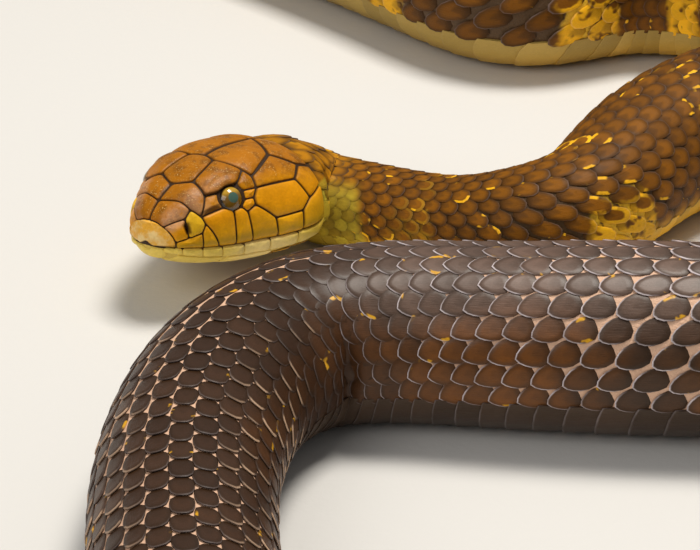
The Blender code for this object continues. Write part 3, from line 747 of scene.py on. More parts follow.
@dataclass
class BellyScutes:
    """Broad scutes across the belly, one to each step of the rows beside them.

    A scute is a strip: one closed section, carried from flank to flank and capped at both ends.
    """

    half_span: float = 72.0
    length_share: float = 1.30
    columns: int = 13
    lag: float = 0.14     # how far a scute's ends lie forward, over its step
    waist: float = 0.3    # how much shorter its ends are
    lift: float = 0.95    # its rise over the depth of the skin
    seed: int = 11

    # Section of a scute: place along the body over its length, and height over its rise
    SECTION = ((-0.50, -0.30), (-0.50, 0.35), (0.0, 0.80), (0.42, 1.12), (0.50, 0.92), (0.50, 0.15))

    def build(self, rows: ScaleRows) -> Shape:
        """Lay out the scutes.

        Args:
            rows: the rows whose steps the scutes follow.

        Returns:
            The scutes as one shape.
        """
        run, step = (part[:, None, None] for part in rows.columns())
        across = np.sin(np.linspace(-math.pi / 2, math.pi / 2, self.columns))[None, :, None]
        along, share = np.array(self.SECTION).T[:, None, None]
        length = step * self.length_share * (1 - self.waist * across ** 8)
        place = run + length * along - self.lag * step * across ** 2
        even = np.ones_like(place)
        angle = (math.pi + math.radians(self.half_span) * across) * even
        rise = SNAKE.sink * GIRTH(place - SNAKE.offset) * self.lift
        points = SNAKE.raised(place, angle, rise * share).reshape(-1, 3)
        count = self.columns * len(self.SECTION)
        faces = [repeated(part, len(run), count) for part in self._faces()]
        tone = np.random.default_rng(self.seed).random(len(run))
        values = {"run": (place * MM).ravel(), "side": np.abs(wrap(angle)).ravel(),
                  "rim": (2 * np.abs(along) * even).ravel(), "tail": (along * even).ravel(),
                  "tone": np.repeat(tone, count), "kind": even.ravel()}
        root = unwrap(run[:, 0, 0], np.full(len(run), -math.pi + 0.1))[:, None]
        local = np.stack([along * even, across * even / 2], -1).reshape(len(run), -1, 2)
        return Shape(points, *faces, values, (root + local * PATCH).reshape(-1, 2))

    def _faces(self) -> tuple[Array, Array]:
        """Faces of one scute: bands from section to section and a cap at each end.

        Returns:
            Quads and triangles.
        """
        size = len(self.SECTION)
        fan = np.arange(1, size - 1)
        first = np.stack([0 * fan, fan, fan + 1], 1)
        last = np.stack([0 * fan, fan + 1, fan], 1) + (self.columns - 1) * size
        return closed_faces(self.columns, size)[0][:, [0, 3, 2, 1]], np.concatenate([first, last])


# Head shields

CORNERS = {
    "rostral_front": (0.9, 0), "rostral_lip": (1.2, 84), "internasal_front": (7.2, 0),
    "nasal_front": (7.4, 40), "labial_1": (8.9, 81), "lip_1": (8.9, 90.2),
    "prefrontal_front": (13.3, 0), "nasal_side": (15.6, 24), "nasal_top": (13.3, 52),
    "nasal_back": (16.0, 44), "nasal_foot": (12.8, 80), "loreal": (18.0, 60), "labial_2": (17.1, 78),
    "lip_2": (17.0, 90.2), "labial_3": (18.6, 70), "labial_bend": (20.3, 79), "lip_3": (22.2, 90.2),
    "frontal_front": (20.4, 0), "frontal_side": (23.6, 14), "brow_front": (22.2, 38),
    "frontal_back": (35.6, 7), "parietal_front": (37.2, 0), "brow_back": (38.4, 31),
    "lid_a": (26.0, 42.5), "lid_b": (25.0, 51), "lid_c": (25.6, 60), "lid_d": (28.6, 66),
    "lid_e": (31.6, 65.5), "lid_f": (33.5, 60), "lid_g": (34.0, 51.5), "lid_h": (33.2, 43),
    "lid_top": (29.4, 40.5), "cheek_a": (39.6, 41), "cheek_b": (38.7, 53), "cheek_c": (36.6, 61),
    "cheek_d": (36.4, 67.5), "labial_5": (33.2, 71), "labial_6": (42.7, 80), "labial_7": (53.6, 78.5),
    "lip_4": (28.0, 90.2), "lip_5": (34.0, 90.2), "lip_6": (43.1, 90.2), "lip_7": (53.3, 90.2),
    "lip_8": (65.5, 90.2), "temple_a": (52.5, 24), "temple_b": (59.0, 41), "temple_c": (54.2, 53),
    "temple_d": (57.4, 70.5), "temple_e": (66.2, 62), "temple_f": (65.6, 42), "nape": (58.6, 0),
    "nape_back": (66.5, 0), "mental_front": (1.2, 180), "mental_lip": (1.4, 98),
    "mental_side": (5.4, 94), "mental_edge": (6.6, 122), "mental_back": (7.6, 180),
}


class Hue(Enum):
    """Colour group of a shield, as the value that its points carry."""

    TOP = 0.0
    SIDE = 0.3
    LIP = 0.5
    BRIGHT = 0.7
    SNOUT = 0.85
    JAW = 1.0


@dataclass(frozen=True)
class Shield:
    """A kind of shield: its corners on the left, its colour group, and if it spans the middle."""

    corners: str
    hue: Hue
    whole: bool = False
    rise: float = 0.5
    seam: float = 1.0


BROW_RISE = 0.8      # of the shields that lean out over the eyes
SHIELDS = (
    Shield("rostral_front rostral_lip lip_1 labial_1 nasal_front internasal_front", Hue.SNOUT, True),
    Shield("frontal_front frontal_side frontal_back parietal_front", Hue.TOP, True),
    Shield("mental_front mental_lip mental_side mental_edge mental_back", Hue.JAW, True),
    Shield("internasal_front nasal_front nasal_top nasal_back nasal_side prefrontal_front", Hue.TOP),
    Shield("nasal_front labial_1 nasal_foot nasal_top", Hue.SIDE),
    Shield("nasal_top nasal_foot labial_2 labial_3 loreal nasal_back", Hue.BRIGHT),
    Shield("prefrontal_front nasal_side nasal_back loreal brow_front frontal_side frontal_front",
           Hue.TOP),
    Shield("frontal_side brow_front lid_a lid_top lid_h brow_back frontal_back", Hue.TOP,
           rise=BROW_RISE),
    Shield("parietal_front frontal_back brow_back cheek_a temple_a nape", Hue.TOP),
    Shield("nape temple_a temple_b temple_f nape_back", Hue.TOP),
    Shield("cheek_a cheek_b temple_c temple_b temple_a", Hue.SIDE),
    Shield("temple_b temple_c temple_d temple_e temple_f", Hue.SIDE),
    Shield("cheek_b cheek_c cheek_d labial_6 labial_7 temple_d temple_c", Hue.SIDE),
    Shield("brow_front loreal lid_c lid_b lid_a", Hue.SIDE),
    Shield("lid_h lid_g cheek_b cheek_a brow_back", Hue.SIDE),
    Shield("lid_g lid_f cheek_c cheek_b", Hue.SIDE),
    Shield("lid_f lid_e labial_5 cheek_d cheek_c", Hue.SIDE),
    Shield("labial_1 lip_1 lip_2 labial_2 nasal_foot", Hue.LIP),
    Shield("labial_2 lip_2 lip_3 labial_bend labial_3", Hue.LIP),
    Shield("labial_3 labial_bend lip_3 lip_4 lid_d lid_c loreal", Hue.LIP),
    Shield("lid_d lip_4 lip_5 labial_5 lid_e", Hue.LIP),
    Shield("labial_5 lip_5 lip_6 labial_6 cheek_d", Hue.LIP),
    Shield("labial_6 lip_6 lip_7 labial_7", Hue.LIP),
    Shield("labial_7 lip_7 lip_8 temple_e temple_d", Hue.LIP),
)
JAW_SHIELD = Shield("", Hue.JAW, seam=0.4)


@dataclass
class HeadShields:
    """The large shields of the head and the jaw, with narrow dark seams between them."""

    seam: float = 0.42
    count: int = 96
    corner_round: float = 0.8
    snout_seam: float = 0.6                # seam on the snout over the usual one
    snout_ends: Pair = (12.0, 24.0)
    crown_seam: float = 1.1                # how much wider it is at the back of the crown
    crown_begins: Pair = (38.0, 47.0)
    crown_turn: Pair = (0.7, 1.0)
    jaw_seams: tuple[float, ...] = (5.4, 10.5, 16.5, 23.0, 30.5, 40.0, 51.0, 65.5)
    jaw_edges: Pair = (89.8, 113.5)
    chin_shields: tuple[Pair, ...] = ((9.0, 24.0), (25.0, 42.0))
    chin_edges: Pair = (115.5, 178.5)
    brow_lean: Triple = (0.9, 0.5, 0.72)   # mm, and the angles over which it grows
    seed: int = 3

    TIERS = ((0, 1, -1.6), (0, 1, -0.1), (0.12, 1, 0.42), (0.36, 1, 0.78), (0.8, 1, 1.04),
             (1.5, 1, 1.26), (1.5, 0.76, 1.42), (1.5, 0.54, 1.5), (1.5, 0.34, 1.53), (1.5, 0.12, 1.54))

    def borders(self) -> list[tuple[Array, Shield]]:
        """Outline of every shield on both sides.

        Returns:
            The corners in run and degrees, and the kind, of each shield.
        """
        made = []
        for kind in SHIELDS:
            half = np.array([CORNERS[name] for name in kind.corners.split()], float)
            if kind.whole:
                chin = half[:, 1].min() > 90
                mirror = np.stack([half[::-1, 0], (360 if chin else 0) - half[::-1, 1]], -1)
                made.append((np.vstack([half, mirror[half[::-1, 1] % 180 >= 0.1]]), kind))
            else:
                made += [(half, kind), (half * (1, -1), kind)]
        boxes = [(a, b, *self.jaw_edges) for a, b in zip(self.jaw_seams, self.jaw_seams[1:])]
        boxes += [(a, b, *self.chin_edges) for a, b in self.chin_shields]
        for near, far, low, high in boxes:
            half = np.array([(near, low), (far, low), (far, high), (near, high)], float)
            made += [(half, JAW_SHIELD), (half * (1, -1) + (0, 360), JAW_SHIELD)]
        return made

    def dense(self, corners: Array, seam: float) -> Array:
        """Outline with even spacing in mm, its corners rounded and its sides moved in by half a seam.

        Args:
            corners: run and angle of each corner.
            seam: width of the seam round it, over the usual one.

        Returns:
            The outline as `count` rows of run and angle.
        """
        closed = np.vstack([corners, corners[:1]])
        share = np.linspace(0, 1, 12, endpoint=False)[:, None]
        fine = np.vstack([a + (b - a) * share for a, b in zip(closed, closed[1:])])
        for rounded in (True, False):
            gap = (np.roll(fine, -1, 0) - fine) * SNAKE.frame(*fine.T)[2]
            length = np.concatenate([[0], np.cumsum(np.linalg.norm(gap, axis=1))])
            even = np.linspace(0, length[-1], self.count, endpoint=False)
            loop = np.vstack([fine, fine[:1]])
            fine = np.stack([np.interp(even, length, loop[:, k]) for k in (0, 1)], -1)
            if rounded:
                reach = max(1, round(self.corner_round / (length[-1] / self.count)))
                fine = np.mean([np.roll(fine, k, 0) for k in range(-reach, reach + 1)], 0)
        scale = SNAKE.frame(*fine.T)[2]
        side = (np.roll(fine, -1, 0) - np.roll(fine, 1, 0)) * scale
        inward = unit(np.stack([-side[:, 1], side[:, 0]], -1))
        inward *= np.sign((inward * (fine.mean(0) - fine) * scale).sum())
        crown = ease(*self.crown_begins, fine[:, 0]) * (1 - ease(*self.crown_turn, np.abs(fine[:, 1])))
        wide = self.snout_seam + (1 - self.snout_seam) * ease(*self.snout_ends, fine[:, 0])
        wide = self.seam * seam * (wide + self.crown_seam * crown)
        return fine + inward * (wide / 2)[:, None] / scale

    def build(self) -> Plates:
        """Lay out the shields.

        Returns:
            The shields as plates.
        """
        rng, made = np.random.default_rng(self.seed), self.borders()
        outline = np.stack([self.dense(half * (1, math.pi / 180), kind.seam) for half, kind in made])
        rise = np.array([kind.rise for _, kind in made])
        lift, low, high = self.brow_lean
        brow = rise[:, None] == BROW_RISE
        lean = np.where(brow, lift * ease(low, high, np.abs(outline[..., 1])), 0.0)
        values = {"tone": rng.random(len(made)), "kind": np.array([kind.hue.value for _, kind in made])}
        return Plates(outline.mean(1), outline, self.TIERS, rise, lean, values, patch=0.0)


# Skin and eyes

@dataclass
class Skin:
    """The one skin under the coat, a grid of rings from the snout to the tail."""

    # Spans of rings with the mm between them: close on the head and where the camera looks
    rings: tuple[Triple, ...] = ((0.15, 66, 0.9), (66, 360, 2.2), (360, 2060, 6), (2060, 2370, 2.6),
                                 (2370, 3700, 6), (3700, SNAKE.end - 0.1, 3))
    columns: int = 72
    lip_columns: tuple[float, ...] = (86.5, 88.2, 89.0, 89.5, 90.5, 91.0, 91.8, 93.5)

    def shape(self) -> Shape:
        """Work out the grid, closed by a point at each end and mapped strip by strip.

        Returns:
            The skin as one shape.
        """
        runs = np.concatenate([np.arange(*span) for span in self.rings] + [[self.rings[-1][1]]])
        even, lips = np.linspace(-180, 180, self.columns, endpoint=False), np.array(self.lip_columns)
        turns = np.radians(np.sort(np.concatenate([even, lips, -lips])))
        run, angle = np.meshgrid(runs, turns, indexing="ij")
        points = SNAKE.raised(run, angle, np.zeros_like(run))
        rings, count = run.shape
        quads, fans = closed_faces(rings, count)
        low, here = np.divmod(quads[:, 0], count)
        near, far, strip = runs[low], runs[low + 1], np.floor(runs[low] / (SNAKE.end / STRIPS))
        after = np.append(turns[1:], math.pi)[here]
        bands = np.stack([unwrap(near, turns[here], strip), unwrap(near, after, strip),
                          unwrap(far, after, strip), unwrap(far, turns[here], strip)], 1)
        caps = [unwrap(np.full(count * 3, at), np.repeat(turns, 3)) for at in (SNAKE.end - 0.2, 0.2)]
        values = {"run": np.append(run.ravel(), [SNAKE.end, 0.0]) * MM,
                  "side": np.append(np.abs(angle).ravel(), [math.pi / 2, math.pi / 2])}
        points = np.vstack([points.reshape(-1, 3), points[-1].mean(0), points[0].mean(0)])
        return Shape(points, quads, fans, values, np.vstack([bands.reshape(-1, 2), *caps]))


@dataclass
class Eye:
    """One eye: a ball whose shown part has the round pupil, the iris and a dark rim."""

    side: float
    at: Pair = (29.4, 54.0)
    radius: float = 4.8
    disc: float = 3.7
    rings: int = 40
    points: int = 48
    map_span: float = 7.0    # radians of the ball that the unwrap's side would hold

    def shape(self) -> Shape:
        """Work out the ball on a grid: angle from the line of sight by angle round it.

        Returns:
            The ball as one shape.
        """
        point, normal, _ = SNAKE.frame(np.array([self.at[0]]), np.radians([self.at[1]]) * self.side)
        look = normal[0]
        up = unit(np.array([0, 0, 1]) - look * look[2])
        middle = point[0] - look * math.sqrt(self.radius ** 2 - self.disc ** 2)
        off, turn = np.meshgrid(np.linspace(0, math.pi, self.rings + 2)[1:-1],
                                np.linspace(0, 2 * math.pi, self.points, endpoint=False), indexing="ij")
        way = (np.cos(off)[..., None] * look + np.sin(off)[..., None]
               * (np.cos(turn)[..., None] * up + np.sin(turn)[..., None] * np.cross(look, up)))
        points = middle + np.vstack([way.reshape(-1, 3), -look, look]) * self.radius
        bands, fans = closed_faces(self.rings, self.points)
        spot = 0.5 + np.stack([np.cos(turn), np.sin(turn)], -1) * off[..., None] / self.map_span
        values = {"off": np.append(off.ravel(), [math.pi, 0]),
                  "height": np.append((np.sin(off) * np.cos(turn)).ravel(), [0, 0])}
        return Shape(points, bands[:, ::-1], fans[:, ::-1], values,
                     np.vstack([spot.reshape(-1, 2), [[0.98, 0.5], [0.5, 0.5]]]))


# Finishes

def math_node(operation: str, swapped: bool = False) -> Any:
    """A method that adds one Math node for a number and another value.

    Args:
        operation: what the node does.
        swapped: whether the other value comes first.

    Returns:
        The method.
    """
    def method(self: "Number", other: Any = 0.0) -> "Number":
        """The node's result.

        Args:
            self: the number.
            other: the other value.

        Returns:
            The result as a number.
        """
        first, second = (other, self) if swapped else (self, other)
        out = self.tree.add("ShaderNodeMath", {"operation": operation}, {0: first, 1: second})
        return Number(self.tree, out)
    return method


class Number:
    """A number in a shader; arithmetic on it adds Math nodes."""

    __add__ = __radd__ = math_node("ADD")
    __mul__ = __rmul__ = math_node("MULTIPLY")
    __sub__, __rsub__ = math_node("SUBTRACT"), math_node("SUBTRACT", swapped=True)
    __truediv__, maximum = math_node("DIVIDE"), math_node("MAXIMUM")
    wave, size = math_node("FRACT"), math_node("ABSOLUTE")

    def __init__(self, tree: "Tree", socket: Any) -> None:
        """Keep the socket and the tree that it belongs to."""
        self.tree = tree
        self.socket = socket

    def away(self, middle: float) -> "Number":
        """Distance from a middle."""
        return (self - middle).size()

    def rise(self, low: float, high: float) -> "Number":
        """Eased rise, or a fall where high is the smaller.

        Args:
            low: where it is 0.
            high: where it is 1.

        Returns:
            A number from 0 to 1.
        """
        out = self.tree.add("ShaderNodeMapRange", {"interpolation_type": "SMOOTHSTEP"},
                            {"Value": self, "From Min": low, "From Max": high})
        return Number(self.tree, out)


class Tree:
    """The nodes of one material around its Principled shader, and the colour laid so far."""

    def __init__(self, name: str, colour: Any) -> None:
        """Start a material.

        Args:
            name: the material's name.
            colour: the first colour.
        """
        self.material = bpy.data.materials.new(name)
        self.material.use_nodes = True
        self.nodes = self.material.node_tree.nodes
        self.colour = colour

    def add(self, kind: str, settings: dict[str, Any], inputs: dict[Any, Any], output: Any = 0) -> Any:
        """One node.

        Args:
            kind: its type.
            settings: properties set first.
            inputs: value, Number or socket for each input.
            output: which output to give back.

        Returns:
            That output socket.
        """
        node = self.nodes.new(kind)
        for key, value in settings.items():
            setattr(node, key, value)
        for key, value in inputs.items():
            self.feed(node.inputs[key], value)
        return node.outputs[output]

    def feed(self, socket: Any, value: Any) -> None:
        """Link a Number or a socket into an input, or set it to a plain value.

        Args:
            socket: the input.
            value: what it gets.
        """
        source = value.socket if isinstance(value, Number) else value
        if isinstance(source, bpy.types.NodeSocket):
            self.material.node_tree.links.new(source, socket)
        else:
            socket.default_value = (*source, 1.0) if isinstance(source, tuple) else source

    def values(self, names: str) -> list[Number]:
        """The numbers of these names that the mesh carries."""
        return [Number(self, self.add("ShaderNodeAttribute", {"attribute_name": name}, {}, "Fac"))
                for name in names.split()]

    def grain(self, scale: float, detail: float = 3.0, where: Any = None) -> Number:
        """Soft noise over the object.

        Args:
            scale: 1 over the size of its patches in metres.
            detail: how many finer layers it has.
            where: place that it is read at, where it isn't the object's own.

        Returns:
            A number from 0 to 1.
        """
        where = where or self.add("ShaderNodeTexCoord", {}, {}, "Object")
        inputs = {"Vector": where, "Scale": scale, "Detail": detail, "Roughness": 0.6}
        return Number(self, self.add("ShaderNodeTexNoise", {}, inputs, "Fac"))

    def blend(self, first: Any, second: Any, share: Any, mode: str = "MIX") -> Any:
        """Mix two colours."""
        return self.add("ShaderNodeMix", {"data_type": "RGBA", "blend_type": mode},
                        {0: share, 6: first, 7: second}, 2)

    def lay(self, colour: Any, share: Any, mode: str = "MIX") -> None:
        """Lay a colour over the colour so far."""
        self.colour = self.blend(self.colour, colour, share, mode)

    def dim(self, shade: Number) -> None:
        """Multiply the colour so far by a grey."""
        grey = self.add("ShaderNodeCombineColor", {}, {0: shade, 1: shade, 2: shade})
        self.lay(grey, 1.0, "MULTIPLY")

    def finish(self, roughness: Any, height: Number, relief: float, **others: Any) -> Material:
        """Feed the shader.

        Args:
            roughness: roughness.
            height: height of the fine relief, from 0 to 1.
            relief: metres that a height of 1 stands for.
            others: other sockets by name, with underscores for spaces.

        Returns:
            The material.
        """
        normal = self.add("ShaderNodeBump", {}, {"Height": height, "Distance": relief, "Strength": 1.0},
                          "Normal")
        others |= {"Base Color": self.colour, "Roughness": roughness, "Normal": normal}
        for name, value in others.items():
            self.feed(self.nodes["Principled BSDF"].inputs[name.replace("_", " ")], value)
        return self.material


BAND_STEP = 0.052
FIRST_BAND = 0.105


def bands(tree: Tree) -> Number:
    """Narrow pale bands of the front of the body, leaning back down the flank, and ragged.

    Args:
        tree: the material that they are worked out in.

    Returns:
        Share of the bands' colour.
    """
    run, side = tree.values("run side")
    rough = tree.grain(140.0, 2.0) - 0.5
    wave = (run - side.rise(0.7, 0.0) * 0.006 + rough * 0.012 + 0.007) / BAND_STEP
    wide = side.rise(0.7, 1.6) * 0.08 + 0.12
    inside = run.rise(FIRST_BAND, FIRST_BAND + 0.06) * run.rise(0.90, 0.40)
    return (1 - (wave.wave().away(0.5) / wide).rise(0.55, 1.0)) * inside


def hind_share(tree: Tree) -> Number:
    """Share of the dark brown of the hind body."""
    return tree.values("run")[0].rise(0.35, 1.15)


def throat_share(tree: Tree) -> Number:
    """Yellow under the head and the neck, fading along the body.

    Args:
        tree: the material that it is worked out in.

    Returns:
        Share of the yellow.
    """
    run, side = tree.values("run side")
    return (side + run.rise(0.1, 0.6) * -0.5).rise(1.62, 2.05) * run.rise(0.6, 0.2)


def fold_share(tree: Tree) -> Number:
    """Yellow green fold of skin behind the corner of the mouth.

    Args:
        tree: the material that it is worked out in.

    Returns:
        Share of its colour.
    """
    run, side = tree.values("run side")
    before = (run + side.rise(0.75, 1.2) * 0.030).rise(0.086, 0.092)
    return (run - side * 0.004).rise(0.1030, 0.0975) * before * side.rise(0.35, 0.9)


@dataclass(frozen=True)
class SkinFinish:
    """Bare skin between the scales: dark in front, yellow in the bands, tan behind."""

    front: Triple = (0.060, 0.028, 0.005)
    yellow: Triple = (0.78, 0.46, 0.020)
    fold: Triple = (0.50, 0.40, 0.035)
    tan: Triple = (0.74, 0.47, 0.32)
    rear: Triple = (0.060, 0.032, 0.016)
    seam: Triple = (0.035, 0.014, 0.003)
    chin: Triple = (0.66, 0.46, 0.085)
    # painted shade in the groove of the mouth
    mouth: Triple = (0.15, 0.070, 0.012)

    def make(self) -> Material:
        """Build the material.

        Returns:
            The material.
        """
        tree = Tree("skin", self.front)
        run, side = tree.values("run side")
        grain = tree.grain(900.0)
        pale = bands(tree) * side.rise(0.8, 1.2) * tree.grain(300.0, 1.0).rise(0.34, 0.48)
        tree.lay(self.yellow, pale.maximum(throat_share(tree)))
        tree.lay(self.tan, hind_share(tree))
        tree.lay(self.rear, run.rise(2.75, 3.10))
        tree.lay(self.fold, fold_share(tree))
        tree.lay(tree.blend(self.seam, self.chin, side.rise(1.60, 1.68)), run.rise(0.0675, 0.065))
        # Painted shade in the mouth groove along the lips
        tree.lay(self.mouth, side.away(math.pi / 2).rise(0.022, 0.008) * run.rise(0.066, 0.060))
        tree.lay((0.5, 0.5, 0.5), (grain - 0.5) * 0.5 + 0.2, "OVERLAY")
        return tree.finish(grain * 0.2 + 0.5, grain, 0.0004, Specular_IOR_Level=0.3)


@dataclass(frozen=True)
class ScaleFinish:
    """Horn of the scales: brown with a painted highlight on the free edge, yellow flecks in front, dull
    belly scutes.
    """

    nape: Triple = (0.52, 0.215, 0.003)
    neck: Triple = (0.25, 0.088, 0.001)
    fore: Triple = (0.185, 0.066, 0.003)
    hind: Triple = (0.058, 0.027, 0.012)
    glow: Triple = (0.23, 0.075, 0.008)
    sheen: Triple = (0.155, 0.100, 0.078)
    deep: Triple = (0.046, 0.020, 0.009)
    yellow: Triple = (0.86, 0.44, 0.010)
    green: Triple = (0.52, 0.41, 0.035)
    # painted highlight on the free edges of the scales
    edge: Triple = (0.66, 0.58, 0.60)
    tip: Triple = (0.66, 0.43, 0.27)
    # painted shade: laid darker towards the rims of the scales and over their roots
    root: Triple = (0.022, 0.011, 0.004)
    belly: Triple = (0.46, 0.31, 0.08)
    belly_hind: Triple = (0.062, 0.036, 0.021)

    def make(self) -> Material:
        """Build the material.

        Returns:
            The material.
        """
        tree = Tree("scale_horn", self.neck)
        run, side, tone, rim, tail, kind = tree.values("run side tone rim tail kind")
        fine, patchy, broad = tree.grain(1500.0), tree.grain(160.0, 2.0), tree.grain(22.0, 2.0)
        where = tree.add("ShaderNodeCombineXYZ", {}, {0: run * 260.0, 1: side * 110.0, 2: tone * 9.0})
        streak = tree.grain(1.0, 3.0, where)
        hind, fold, back = hind_share(tree), fold_share(tree), 1 - kind
        tree.lay(self.fore, run.rise(0.09, 0.26))
        tree.lay(self.nape, run.rise(0.104, 0.084) * (tone * 0.3 + 0.6))
        warm = broad + side * 0.10 + run.rise(2.12, 2.16) * side.rise(0.6, 1.2) * 0.14
        brown = tree.blend(self.hind, self.glow, warm.rise(0.54, 0.80) * (patchy * 0.7 + 0.3))
        lit = run.rise(2.235, 2.190) * side.rise(1.3, 0.6) * (broad * 0.6 + 0.4)
        brown = tree.blend(brown, self.sheen, lit * run.rise(1.9, 2.05))
        tree.lay(tree.blend(brown, self.deep, run.rise(2.185, 2.235) * (1 - broad * 0.3)), hind)
        tree.lay(tree.blend(self.belly, self.belly_hind, hind), kind)
        tree.lay(self.yellow, throat_share(tree) * (1 - hind) * 0.7)
        tree.lay(self.green, fold * (tone * 0.3 + 0.5))
        flecks = tone.rise(0.70, 0.76) * rim.rise(0.66, 0.80) * patchy.rise(0.56, 0.62)
        flecks = flecks * (1 - hind * 0.3) * tail.away(0.21).rise(0.16, 0.10)
        dash = rim.rise(0.58, 0.72) * tail.away(0.20).rise(0.15, 0.09) * tone.rise(0.12, 0.20)
        patch = (rim + side.rise(1.35, 1.75)).rise(0.50, 0.70) * patchy.rise(0.34, 0.46)
        pale = bands(tree) * dash.maximum(side.rise(0.9, 1.4) * patch)
        bare = 1 - fold * 0.6
        # Painted shade: each scale darker towards its rim, patchy on the front body, even on the hind
        # body
        tree.lay(self.root, rim.rise(0.42, 1.0) * (patchy * 0.8 + 0.25) * (1 - hind) * back * bare)
        tree.lay(self.root, rim.rise(0.50, 0.92) * hind * back * 0.45)
        tree.lay(self.yellow, flecks.maximum(pale) * back)
        tree.dim(0.74 + tone * 0.40 + (fine - 0.5) * 0.25 + streak * 0.12)
        # Painted shadow of the scale in front, over this one's root
        tree.lay(self.root, tail.rise(0.12, -0.10) * (0.5 - hind * 0.2) * back * bare)
        tips = rim.rise(0.80, 0.94) * tail.rise(0.42, 0.50) * side.rise(0.30, 0.80)
        tips = tips * run.rise(2.19, 2.24) * run.rise(2.75, 2.55)
        tree.lay(self.tip, tips * back * (tone * 0.6 + 0.3))
        # Painted highlight on each scale's free edge, strongest on the hind body before the bend
        bright = (hind * run.rise(2.250, 2.195) * 0.78 + 0.07) * (1 - kind * 0.8)
        free = rim.rise(0.87, 0.98) * tail.rise(0.16, 0.46)
        tree.lay(self.edge, free * bright * (patchy.rise(0.25, 0.7) + 0.4))
        gloss = hind * (run.rise(2.28, 2.20) * 0.14 + 0.14) + 0.05
        return tree.finish(0.46 - hind * 0.10 + fine * 0.14, streak * 0.3 + patchy * 0.7, 0.0006,
                           Specular_IOR_Level=0.12, Coat_Weight=gloss, Coat_Roughness=0.32)


@dataclass(frozen=True)
class ShieldFinish:
    """Horn of the head's shields: orange brown on top, golden at the sides, pale at the lips."""

    top: Triple = (0.43, 0.150, 0.002)
    side: Triple = (0.80, 0.325, 0.002)
    lip: Triple = (0.78, 0.38, 0.005)
    bright: Triple = (0.95, 0.56, 0.020)
    snout: Triple = (0.95, 0.47, 0.045)
    pale: Triple = (0.96, 0.74, 0.34)
    speck: Triple = (0.90, 0.60, 0.22)
    jaw: Triple = (0.88, 0.64, 0.12)
    # olive laid towards the back of the jaw and the low side of the head; also painted shade under the
    # upper lip
    olive_and_lip_shade: Triple = (0.36, 0.24, 0.014)
    # dark of the seams round the shields; also painted shade before the eyes and in the nostrils
    rim: Triple = (0.055, 0.022, 0.004)
    stain: Triple = (0.14, 0.050, 0.003)
    sheen: Triple = (0.80, 0.46, 0.28)

    def make(self) -> Material:
        """Build the material.

        Returns:
            The material.
        """
        tree = Tree("shield_horn", self.top)
        run, side, tone, rim, kind = tree.values("run side tone rim kind")
        fine, patchy, broad = tree.grain(1100.0, 4.0), tree.grain(230.0, 3.0), tree.grain(75.0, 2.0)
        nasal, snout = (kind.away(hue.value).rise(0.04, 0.02) for hue in (Hue.BRIGHT, Hue.SNOUT))
        chin, plain = kind.rise(0.93, 0.97), 1 - snout - nasal
        tree.lay(self.side, side.rise(0.62, 1.05))
        tree.lay(self.lip, side.rise(1.15, 1.50))
        tree.lay(self.bright, nasal * 0.9)
        tree.lay(self.snout, snout)
        tree.lay(self.pale, snout * patchy.rise(0.42, 0.62) * 0.75)
        tree.lay(self.jaw, chin)
        tree.lay(self.pale, run.rise(0.022, 0.034) * run.rise(0.056, 0.042) * chin * 0.55)
        tree.lay(self.olive_and_lip_shade, run.rise(0.042, 0.058) * chin * 0.45)
        tree.lay(self.olive_and_lip_shade, run.rise(0.050, 0.066) * side.rise(1.0, 1.5) * 0.65)
        # Painted shade: olive along the lower edge of the upper lip
        tree.lay(self.olive_and_lip_shade, side.away(1.52).rise(0.07, 0.0) * 0.55)
        tree.lay(self.sheen, run.rise(0.034, 0.014) * side.rise(1.15, 0.9) * side.rise(0.25, 0.55)
                 * patchy.rise(0.30, 0.64) * plain * 0.6)
        stain = (patchy - broad * 0.3).rise(0.31, 0.50) * side.rise(1.2, 0.6)
        tree.lay(self.stain, stain * plain * 0.60)
        specks = tree.grain(2300.0, 1.0).rise(0.62, 0.70) * patchy.rise(0.40, 0.60)
        tree.lay(self.speck, specks * side.rise(1.1, 0.5) * 0.65)
        tree.dim(0.62 + tone * 0.16 + broad * 0.50 + (fine - 0.5) * 0.30 + (patchy - 0.5) * 0.30)
        # Painted shade in the hollow before each eye and inside each nostril
        eye_dip_shade = side.away(0.99).rise(0.085, 0.03) * run.away(0.0215).rise(0.0046, 0.0026)
        nostril_shade = side.away(1.16).rise(0.19, 0.10) * run.away(0.0130).rise(0.0013, 0.0005)
        tree.lay(self.rim, eye_dip_shade.maximum(nostril_shade) * 0.8)
        lip = side.away(math.pi / 2).rise(0.01, 0.09) * 0.8 + 0.2
        tree.lay(self.rim, rim.rise(0.93, 1.0) * lip * (1 - chin * 0.88) * 0.75)
        return tree.finish(0.36 + fine * 0.14, broad * 0.5 + patchy * 0.35 + fine * 0.15, 0.0010,
                           Specular_IOR_Level=0.15, Coat_Weight=0.06, Coat_Roughness=0.25)


